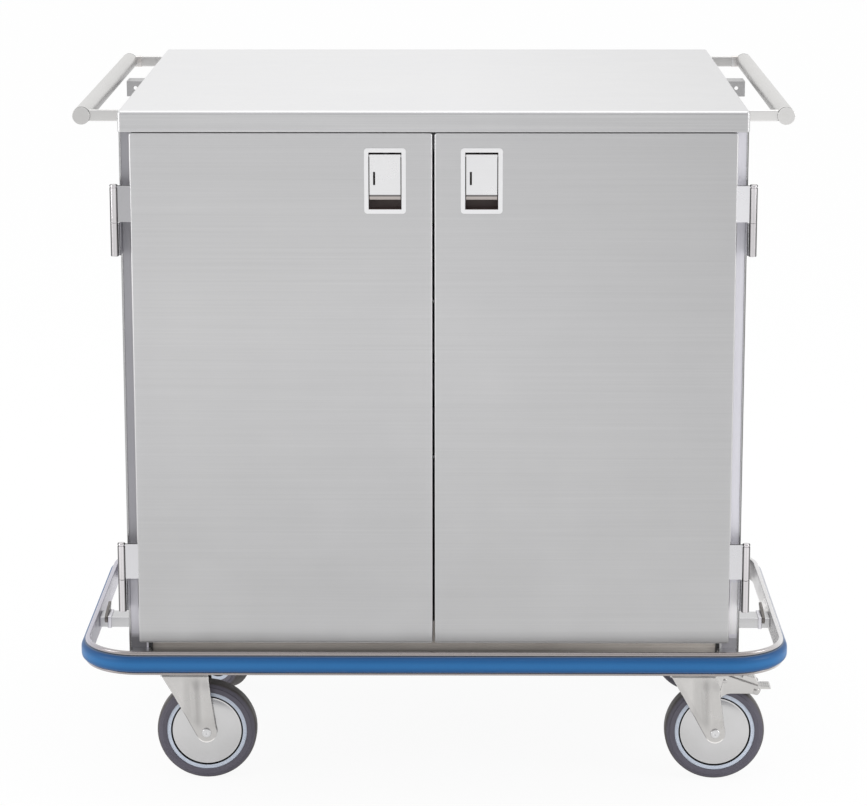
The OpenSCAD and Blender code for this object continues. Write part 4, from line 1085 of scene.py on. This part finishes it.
t, d, h = CHANNEL_T, CHANNEL_D, BUMPER_H
channel_corners = [(0, 0), (d, 0), (d, LIP_LOW), (d - t, LIP_LOW), (d - t, t), (t, t), (t, h - t),
                   (d - t, h - t), (d - t, h - LIP_HIGH), (d, h - LIP_HIGH), (d, h), (0, h)]
channel_radii = [1.5, 0.8, 0.8, 0.4, 0.3, 0.3, 0.3, 0.3, 0.4, 0.8, 2.2, 1.5]
channel = rounded_outline(channel_corners, channel_radii)
make_piece("bumper_rail", ring_road(channel), "root", "bumper_steel", replaces=("bumper_channel",))

crown_u = np.sin(np.radians(np.linspace(-90, 90, 27)))
low, high = LIP_LOW + 0.2, h - LIP_HIGH - GROOVE
crown_x = d - 0.8 + (CROWN + 0.8)*(1 - np.abs(crown_u)**5)
crown_z = (low + high)/2 + (high - low)/2*crown_u
strip = np.column_stack([crown_x, crown_z])
strip = np.vstack([strip, [[d - t - 0.3, high], [d - t - 0.3, h - t - 0.3], [t + 0.2, h - t - 0.3],
                           [t + 0.2, t + 0.3], [d - t - 0.3, t + 0.3], [d - t - 0.3, low]]])
shape = ring_road(strip)
across = np.clip((shape[0][:, 2] - BUMPER_Z - (low + high)/2)/((high - low)/2), -1.2, 1.2)
make_piece("bumper_strip_face", shape, "root", "bumper_vinyl", replaces=("bumper_strip",),
           values={"across": across})
stubs = joined(block((448.5, -202.5, 229.0), (513.0, -167.5, 245.0), 1.2),
               block((448.5, 250.6, 224.0), (452.0, 285.6, 245.0), 1.0),
               block((419.0, -398.0, 224.0), (447.0, -350.0, 245.0), 1.2),
               block((383.0, 376.5, 224.0), (411.0, 398.0, 245.0), 1.2))
make_piece("bumper_stubs", on_both(stubs), "root", slot_of["bumper_brackets"], "panel_steel",
           ("bumper_brackets",))
hook_corners = [(-206, 240), (-196, 230), (-182, 231), (-150, 251), (-150, 255), (-172, 253),
                (-206, 247)]
hook = plate(rounded_outline(hook_corners, 2.5), 500.5, 505.0, 0.8, "x")
make_piece("bumper_hooks", on_both(hook), "root", "bumper_steel", "clamp_steel")
flange = block((494.5, -204.5, 228.0), (500.5, -165.5, 246.5), 1.0)
make_piece("bumper_flanges", on_both(flange), "root", "bumper_steel", "fitting_steel")

# %% [markdown]
# ## Tyres, wheels and covers
# A caster wheel is nothing but profiles turned about its axle, so four short lists of radius and
# width describe it: the tyre with its crowned tread and rounded shoulders, the plastic wheel
# with its pale ring, the two dished covers, and the axle with its domed heads. The camera looks
# at them from close to their own height, so the outlines get a hundred steps. The four casters
# are drawn once, about a kingpin at the origin. The photograph shows the front ones trailing to
# the right and the rear ones turned, here by 50 degrees, so each is turned and set down.

# %% Wheels
CASTER_X, CASTER_Y, TRAIL, WHEEL_R = 388.0, 226.0, 40.0, 76.2
CORNERS = {"front_left": (-1, -1), "front_right": (1, -1), "rear_left": (-1, 1),
           "rear_right": (1, 1)}
REAR_SWIVEL = -50.0
HUB = np.array([TRAIL, 0.0, WHEEL_R])
RING_R0, RING_R1, COVER_R, HUB_R, AXLE_R = 54.9, 61.2, 53.0, 14.0, 6.05
TREAD_FROM_M, TREAD_FADE_M = 0.0727, 0.0022


def both_faces(half_profile):
    """A profile drawn for one face of the wheel, closed by its mirror image on the other."""
    half_profile = np.asarray(half_profile, float)
    return np.vstack([half_profile, half_profile[::-1]*[1, -1]])


tyre_half = [(61.2, 15.0), *arc((62.2, 14.4), 0.9, 150, 80, 3), (64.0, 15.5), (66.5, 15.9),
             *arc((68.2, 15.3), 0.7, 90, 10, 3), (69.3, 14.7), (71.0, 14.2),
             *arc((70.6, 8.6), 5.4, 76, 8, 7), (76.15, 6.0), (76.2, 3.0)]
core = [(RING_R1, 13.4), *arc((RING_R1 - 0.6, 13.4), 0.6, 0, 90, 3),
        *arc((RING_R0 + 0.8, 13.2), 0.8, 90, 180, 4), (RING_R0, 4.4), (50.0, 4.0), (16.0, 4.0),
        (HUB_R, 5.0), (HUB_R, 17.0), (HUB_R - 0.5, 17.5), (AXLE_R, 17.5)]
dish_r = np.linspace(HUB_R - 2.0, COVER_R - 1.0, 24)
dish_y = 12.4 + 3.1*np.clip(1 - ((dish_r - 26.0)/(COVER_R - 27.0)).clip(0)**2, 0, 1)
cover = [*zip(dish_r, dish_y), *arc((COVER_R - 0.6, 12.1), 0.6, 60, -60, 3),
         *zip(dish_r[::-1], dish_y[::-1] - 1.2)]
axle = [(0.0, 25.9), (1.8, 25.9), (2.4, 26.3), (5.2, 26.5), *arc((5.6, 24.9), 1.6, 75, 0, 5),
        (7.4, 23.55), (5.95, 23.5)]


def set_down(shape, sx, sy):
    """A caster's shape, drawn about a kingpin at the origin, set down at its corner. At the back
    it is turned first: x' = x cos - y sin and y' = x sin + y cos of the swivel's angle."""
    turn = np.radians(REAR_SWIVEL if sy > 0 else 0.0)
    rows = np.array([[np.cos(turn), np.sin(turn), 0], [-np.sin(turn), np.cos(turn), 0], [0, 0, 1]])
    return shape[0] @ rows + [sx*CASTER_X, sy*CASTER_Y, 0.0], shape[1]


def radius_of(points):
    """Distance of each point from the axle, in metres, while the caster is at the origin."""
    return np.hypot(points[:, 0] - HUB[0], points[:, 2] - HUB[2])*MILLIMETRE


rubber = turned(both_faces(tyre_half), HUB, "y", 128)
wear = np.clip((radius_of(rubber[0]) - TREAD_FROM_M)/TREAD_FADE_M, 0, 1)
plastic = turned(both_faces(core), HUB, "y", 96)
one = turned(cover, (0, 0, 0), "y", 96)
discs = moved(joined(one, mirrored(one, 1)), HUB)
pin = turned(both_faces(axle), HUB, "y", 48)
WHEEL_PIECES = [("tyre_ring", rubber, "rolling", "tyre_rubber", "tyre", {"tread": wear}),
                ("wheel_core", plastic, "rolling", "wheel_core", "wheel",
                 {"radius": radius_of(plastic[0])}),
                ("hub_covers", discs, "rolling", "cover_steel", "wheel_covers",
                 {"radius": radius_of(discs[0])}),
                ("axle", pin, "caster", "bolt_steel", "caster_axle", None)]
for corner, signs in CORNERS.items():
    for name, shape, body, slot, node, values in WHEEL_PIECES:
        make_piece(f"{name}_{corner}", set_down(shape, *signs), f"{body}_{corner}", slot,
                   replaces=(f"{node}_{corner}",), values=values)

# %% [markdown]
# ## Forks
# A fork is one steel blank, bent over like a bridge. Its surface is a function of two numbers:
# how far along the bend we are, from the end of one leg over the crown to the end of the other,
# and how far across the blank. The blank's two edges lean in towards the round end at the axle.
# A pressed step stiffens each leg: its front part stands out by about two millimetres, with a
# shallow crease in it, and its rear edge leans in. These give the soft upright bands and the
# lighter slanted facet of the picture, and painted reflection bands in the fork's colour strengthen
# them.

# %% Forks
FORK_IN, FORK_OUT, CROWN_IN, END_R = 19.0, 23.5, 17.5, 15.8
CROWN_TOP, CROWN_UNDER, BEND_R = 170.0, 164.0, 6.0
FORK_LEFT, FORK_RIGHT = -29.5, 43.0


def leg_edges(z):
    """Left and right edge of a leg at a height: straight lines that lean to the tangent points
    of the end circle, and below these the circle itself."""
    chord = np.sqrt(np.clip(END_R**2 - (z - WHEEL_R)**2, 0, None))
    edges = []
    for tangent, top, sign in ((205, FORK_LEFT, -1), (25, FORK_RIGHT, 1)):
        low_x = TRAIL + END_R*np.cos(np.radians(tangent))
        low_z = WHEEL_R + END_R*np.sin(np.radians(tangent))
        line = np.interp(z, [low_z, CROWN_TOP], [low_x, top])
        edges.append(np.where(z > low_z, line, TRAIL + sign*chord))
    return edges


def smooth(value, low, high):
    """0 below low, 1 above high, and 3t squared minus 2t cubed between them."""
    share = np.clip((value - low)/(high - low), 0, 1)
    return share*share*(3 - 2*share)


def leg_relief(x, z, left):
    """How far a leg's outer face stands out or in, in millimetres. A pressed step of 2.4 runs
    upright beside the axle, with a shallow crease behind it. The rear edge is a flat facet
    that leans in by 2.8. Step and crease fade towards the axle."""
    fade = smooth(z, WHEEL_R + 4.0, WHEEL_R + 26.0)
    middle = np.interp(z, [WHEEL_R, CROWN_TOP], [24.0, 17.0])
    step = 2.4*smooth(x, middle - 4.0, middle + 3.0)*fade
    crease = 0.8*np.exp(-((x - middle - 12.0)/3.0)**2)*fade
    lean = 2.8*np.clip(1 - (x - left)/10.0, 0, 1)*smooth(z, WHEEL_R, WHEEL_R + 30.0)
    return step - crease - lean


def fork_sheet():
    """The bent blank as a closed stack: each ring goes over the outer face from edge to edge and
    back under the inner face."""
    z_low = WHEEL_R - END_R*np.cos(np.linspace(0, np.pi/2, 14))
    z_leg = np.concatenate([z_low[:-1] + 0.02, np.linspace(WHEEL_R, CROWN_UNDER, 34)])
    bend = np.radians(np.linspace(0, 90, 8))[1:]
    leg = np.ones(len(z_leg))
    y_out = np.concatenate([leg*FORK_OUT, FORK_OUT - BEND_R + BEND_R*np.cos(bend)])
    z_out = np.concatenate([z_leg, CROWN_UNDER + BEND_R*np.sin(bend)])
    y_in = np.concatenate([leg*FORK_IN, np.interp(bend, [0, np.pi/2], [FORK_IN, CROWN_IN])])
    z_in = np.minimum(z_out, CROWN_UNDER)
    span = np.concatenate([[0.0, 0.012], np.linspace(0.03, 0.97, 48), [0.988, 1.0]])
    left, right = leg_edges(z_out)
    x = left[:, None] + (right - left)[:, None]*span
    fold_fade = 1 - smooth(z_out, CROWN_UNDER - 26.0, CROWN_UNDER + 1.0)[:, None]
    relief = leg_relief(x, z_out[:, None], left[:, None])*fold_fade
    chamfer = 0.9*((span == 0) | (span == 1))
    flat = np.zeros(x.shape)
    outer = np.stack([x, y_out[:, None] + relief - chamfer, flat + z_out[:, None]], -1)
    inward = np.minimum(relief, 0)*0.8
    inner = np.stack([x, y_in[:, None] + inward, flat + z_in[:, None]], -1)
    rings = np.concatenate([outer, inner[:, ::-1]], axis=1)
    other = (rings*[1, -1, 1])[::-1]
    return stack(np.concatenate([rings, other]))


def fork_lift(points):
    """Share by which a place on the fork is painted lighter or darker. Over x run painted
    reflection bands that follow the pressed step, lighter behind and darker along the crease. At
    the round end a painted highlight runs along the cut edge, and a painted shadow line runs up the
    rear edge from there."""
    x, z = points[:, 0], points[:, 2]
    fade = smooth(z, WHEEL_R + 2.0, WHEEL_R + 22.0)*(1 - smooth(z, CROWN_UNDER - 10.0, CROWN_TOP))
    bands = np.interp(x, [-20, 3, 9, 22, 26, 29, 34, 48, 52],
                      [0.04, 0.10, -0.05, -0.10, -0.22, -0.14, 0.02, 0.0, -0.08])
    reach = np.hypot(x - TRAIL, z - WHEEL_R)
    rim = 0.6*smooth(reach, 13.2, 15.0)*(1 - smooth(z, WHEEL_R - 11.0, WHEEL_R - 7.0))
    low = (1 - smooth(z, WHEEL_R + 25.0, WHEEL_R + 40.0))*smooth(z, WHEEL_R - 8.0, WHEEL_R - 4.0)
    line = 0.5*np.clip(1.6 - (x - leg_edges(z)[0])/1.2, 0, 1)*low
    return bands*fade + rim - line


def dome(place, radius, height, out):
    """A low rivet head on a face that looks along Y. out is -1 at the front and 1 at the back."""
    angle = np.radians(np.linspace(0, 90, 7))
    profile = [(0.0, -1.0), (radius, -1.0), *zip(radius*np.cos(angle), height*np.sin(angle))]
    profile = [(r, out*h) for r, h in profile]
    return turned(profile, place, "y", 24)


CUP_PROFILE = [(13.0, 169.5), (23.0, 169.5), (28.6, 170.2), (29.6, 171.2), (30.0, 172.2),
               (30.0, 176.2), (29.3, 177.4), (28.2, 177.8), (13.0, 177.8)]
CHEEK = np.array([[-1.0, 168.0], [16.0, 168.5], [69.0, 150.0], [67.5, 142.4], [63.5, 137.1],
                  [53.0, 139.9], [18.0, 139.9], [9.0, 134.9], [-1.0, 120.4]]) + [TRAIL, 0.0]
BRAKE_PIN = (TRAIL + 61.0, 144.0)


def fork(braked):
    """Bent sheet and race cup, and on a braked fork the two cheeks with their rivets and pin."""
    parts = [fork_sheet(), turned(CUP_PROFILE, (0, 0, 0), "z", 64)]
    if braked:
        outline = rounded_outline(CHEEK, [1, 3, 4, 4, 3, 4, 6, 8, 1])
        for out in (-1, 1):
            low, high = sorted((out*FORK_IN, out*FORK_OUT))
            parts.append(plate(outline, low, high, 0.8))
            parts.append(dome((BRAKE_PIN[0], out*FORK_OUT, BRAKE_PIN[1]), 4.6, 1.8, out))
            parts.append(dome((TRAIL + 13.5, out*FORK_OUT, 160.1), 3.4, 1.4, out))
        parts.append(turned([(0, -23), (4, -23), (4, 23), (0, 23)],
                            (BRAKE_PIN[0], 0, BRAKE_PIN[1]), "y", 24))
    return joined(*parts)


for corner, (sx, sy) in CORNERS.items():
    shape = fork(sx > 0)
    make_piece(f"fork_{corner}", set_down(shape, sx, sy), f"caster_{corner}", "fork_steel",
               replaces=(f"caster_fork_{corner}",), values={"lift": fork_lift(shape[0])})

# %% [markdown]
# ## Brake pedals
# The two right-hand casters have a foot brake: a folded pedal between the fork's cheeks, turning
# on a pin. Its outline is carried across the fork's width, and rows of small ribs on the steps
# give the shoe some grip.

# %% Brake pedals
PEDAL = np.array([[20, 170.6], [40, 163.8], [42, 167.9], [60, 163.9], [62.5, 157.9], [66, 150.4],
                  [67, 144.0], [57, 144.0], [56, 153.9], [19, 167.4]]) + [TRAIL, 0.0]
TAB = np.array([[61, 147.6], [84.5, 147.6], [84.5, 143.6], [61, 143.6]]) + [TRAIL, 0.0]
PEDAL_HALF, TAB_HALF = 18.5, 13.0


def rib(x, z, lean, half):
    """A small bar across the pedal, leaning with the face it stands on."""
    outline = rounded_outline([(-0.9, -1.0), (0.9, -1.0), (0.9, 0.9), (-0.9, 0.9)], 0.5, 3)
    turn = np.array([[np.cos(lean), np.sin(lean)], [-np.sin(lean), np.cos(lean)]])
    return plate(outline @ turn + [TRAIL + x, z], -half, half, 0.4)


def pedal():
    """The folded pedal, its narrower tab, its hub on the pin and its ribs."""
    body = plate(rounded_outline(PEDAL, 1.2, 3), -PEDAL_HALF, PEDAL_HALF, 0.8)
    tab = plate(rounded_outline(TAB, 1.2, 3), -TAB_HALF, TAB_HALF, 0.8)
    hub = turned([(4.05, -17.5), (6.0, -18.3), (6.0, 18.3), (4.05, 17.5)],
                 (BRAKE_PIN[0], 0, BRAKE_PIN[1]), "y", 32)
    lean = -np.arctan2(4.0, 18.0)
    steps = [rib(x, z, lean, PEDAL_HALF - 1.5)
             for x, z in zip(np.linspace(44.0, 58.0, 5), np.linspace(167.4, 164.3, 5))]
    grips = [rib(x, 147.6, 0.0, TAB_HALF - 1.5) for x in np.linspace(72.0, 81.5, 4)]
    return joined(body, tab, hub, *steps, *grips)


for corner, (sx, sy) in CORNERS.items():
    if sx > 0:
        make_piece(f"pedal_{corner}", set_down(pedal(), sx, sy), f"pedal_{corner}", "fork_steel",
                   replaces=(f"brake_pedal_{corner}",))

# %% [markdown]
# ## Wire shelves
# Two welded wire shelves lie on runners inside. A straight wire is a circle at each end of a
# line, so all the wires of a shelf are worked out in one array: wires by rings by points. The
# ends are drawn in by a small quarter circle, as cut and tumbled wire is.

# %% Wire shelves
SHELF_Z = (520.0, 755.0)
SHELF_HALF = np.array([414.0, 325.0])
SHELF_MID_Y, FRAME_R, CROSS_R = 30.0, 3.0, 2.0
CROSS_COUNT = 20


def wires(starts, ends, radius, axis, sides=10):
    """Round wires along an axis, all at once. Each has six rings: the radius at the ends follows
    a quarter circle."""
    starts, ends = np.asarray(starts, float), np.asarray(ends, float)
    angle = np.radians([0, 45, 90])
    shrink = np.concatenate([np.sin(angle), np.sin(angle[::-1])])*radius
    along = np.zeros(3)
    along["xyz".index(axis)] = 1
    inward = along*(radius*np.array([0, 0.3, 1.0]))[:, None]
    steps = np.concatenate([starts[:, None] + inward, ends[:, None] - inward[::-1]], axis=1)
    turn = np.linspace(0, 2*np.pi, sides, endpoint=False)
    circle = standing(np.stack([np.cos(turn), np.sin(turn)], 1), 0.0, axis)
    rings = steps[:, :, None] + shrink[None, :, None, None]*circle
    return joined(*[stack(one) for one in rings])


def shelf(z):
    """One shelf: three rods across, two side rods and the cross wires on top."""
    x, y = SHELF_HALF - FRAME_R
    rod_z, wire_z = z + FRAME_R, z + 2*FRAME_R + CROSS_R - 0.8
    rows = SHELF_MID_Y + y*np.array([-1, 0, 1])
    ends = np.column_stack([np.full(3, SHELF_HALF[0]), rows, np.full(3, rod_z)])
    across = wires(ends*[-1, 1, 1], ends, FRAME_R, "x")
    low = np.array([[s*x, SHELF_MID_Y - SHELF_HALF[1], rod_z] for s in (-1, 1)])
    sides = wires(low, low + [0, 2*SHELF_HALF[1], 0], FRAME_R, "y")
    places = np.linspace(-x, x, CROSS_COUNT + 2)[1:-1]
    low = np.column_stack([places, np.full(CROSS_COUNT, SHELF_MID_Y - SHELF_HALF[1] + 2),
                           np.full(CROSS_COUNT, wire_z)])
    cross = wires(low, low + [0, 2*SHELF_HALF[1] - 4, 0], CROSS_R, "y")
    return joined(across, sides, cross)


for name, z in zip(("lower", "upper"), SHELF_Z):
    make_piece(f"wire_shelf_{name}", shelf(z), "root", "shelf_wire", replaces=(f"shelf_{name}",))

# %% [markdown]
# ## The rest of the cabinet
# The other parts are folded sheet whose CAD shape is right: panels, posts, rails, runners and
# plates. Each gets a bevelled copy with an edge of about half a millimetre, which is enough to
# catch the light, and a steel whose grain runs along it. The side panels end in a narrow hem that
# wraps the posts' outer corners.

# %% Folded sheet parts
SOFT_PARTS = {"side_panel_left": (0.3, "side_steel"), "side_panel_right": (0.3, "side_steel"),
              "back_panel": (0.4, "panel_steel"), "floor_pan": (0.4, "panel_steel"),
              "front_post_left": (0.6, "post_steel"), "front_post_right": (0.6, "post_steel"),
              "header_rail": (0.5, "inner_steel"), "sill_rail": (0.5, "sill_steel"),
              "latch_strike": (0.3, "inner_steel"), "shelf_standards": (0.3, "post_steel"),
              "shelf_runners": (0.4, "side_steel"), "door_catches": (0.5, "catch_steel"),
              "chassis_rails": (0.8, "panel_steel"), "caster_plates": (0.6, "fork_steel"),
              "caster_bolts": (0.5, "bolt_steel")}
for node, (width, steel) in SOFT_PARTS.items():
    soften(node, width, steel)
hem = block((448.2, -351.2, 213.0), (451.3, -346.0, 1018.0), 1.0, "z")
make_piece("side_hems", on_both(hem), "root", "panel_steel", "hem_steel")
left_over = [o for o in frame["nodes"].values() if not o.hide_render]
for obj in left_over:
    obj.data.materials.clear()
    obj.data.materials.append(MATERIALS[slot_of[obj.name]])
print("CAD nodes still shown:", [o.name for o in left_over])

# %% Size and finish
shown_box = [[float(v) for v in corner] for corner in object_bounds()]
growth = np.round((np.array(shown_box) - np.array(cad_box))*1000, 2)
print("visual box minus CAD box, mm:", growth.tolist())
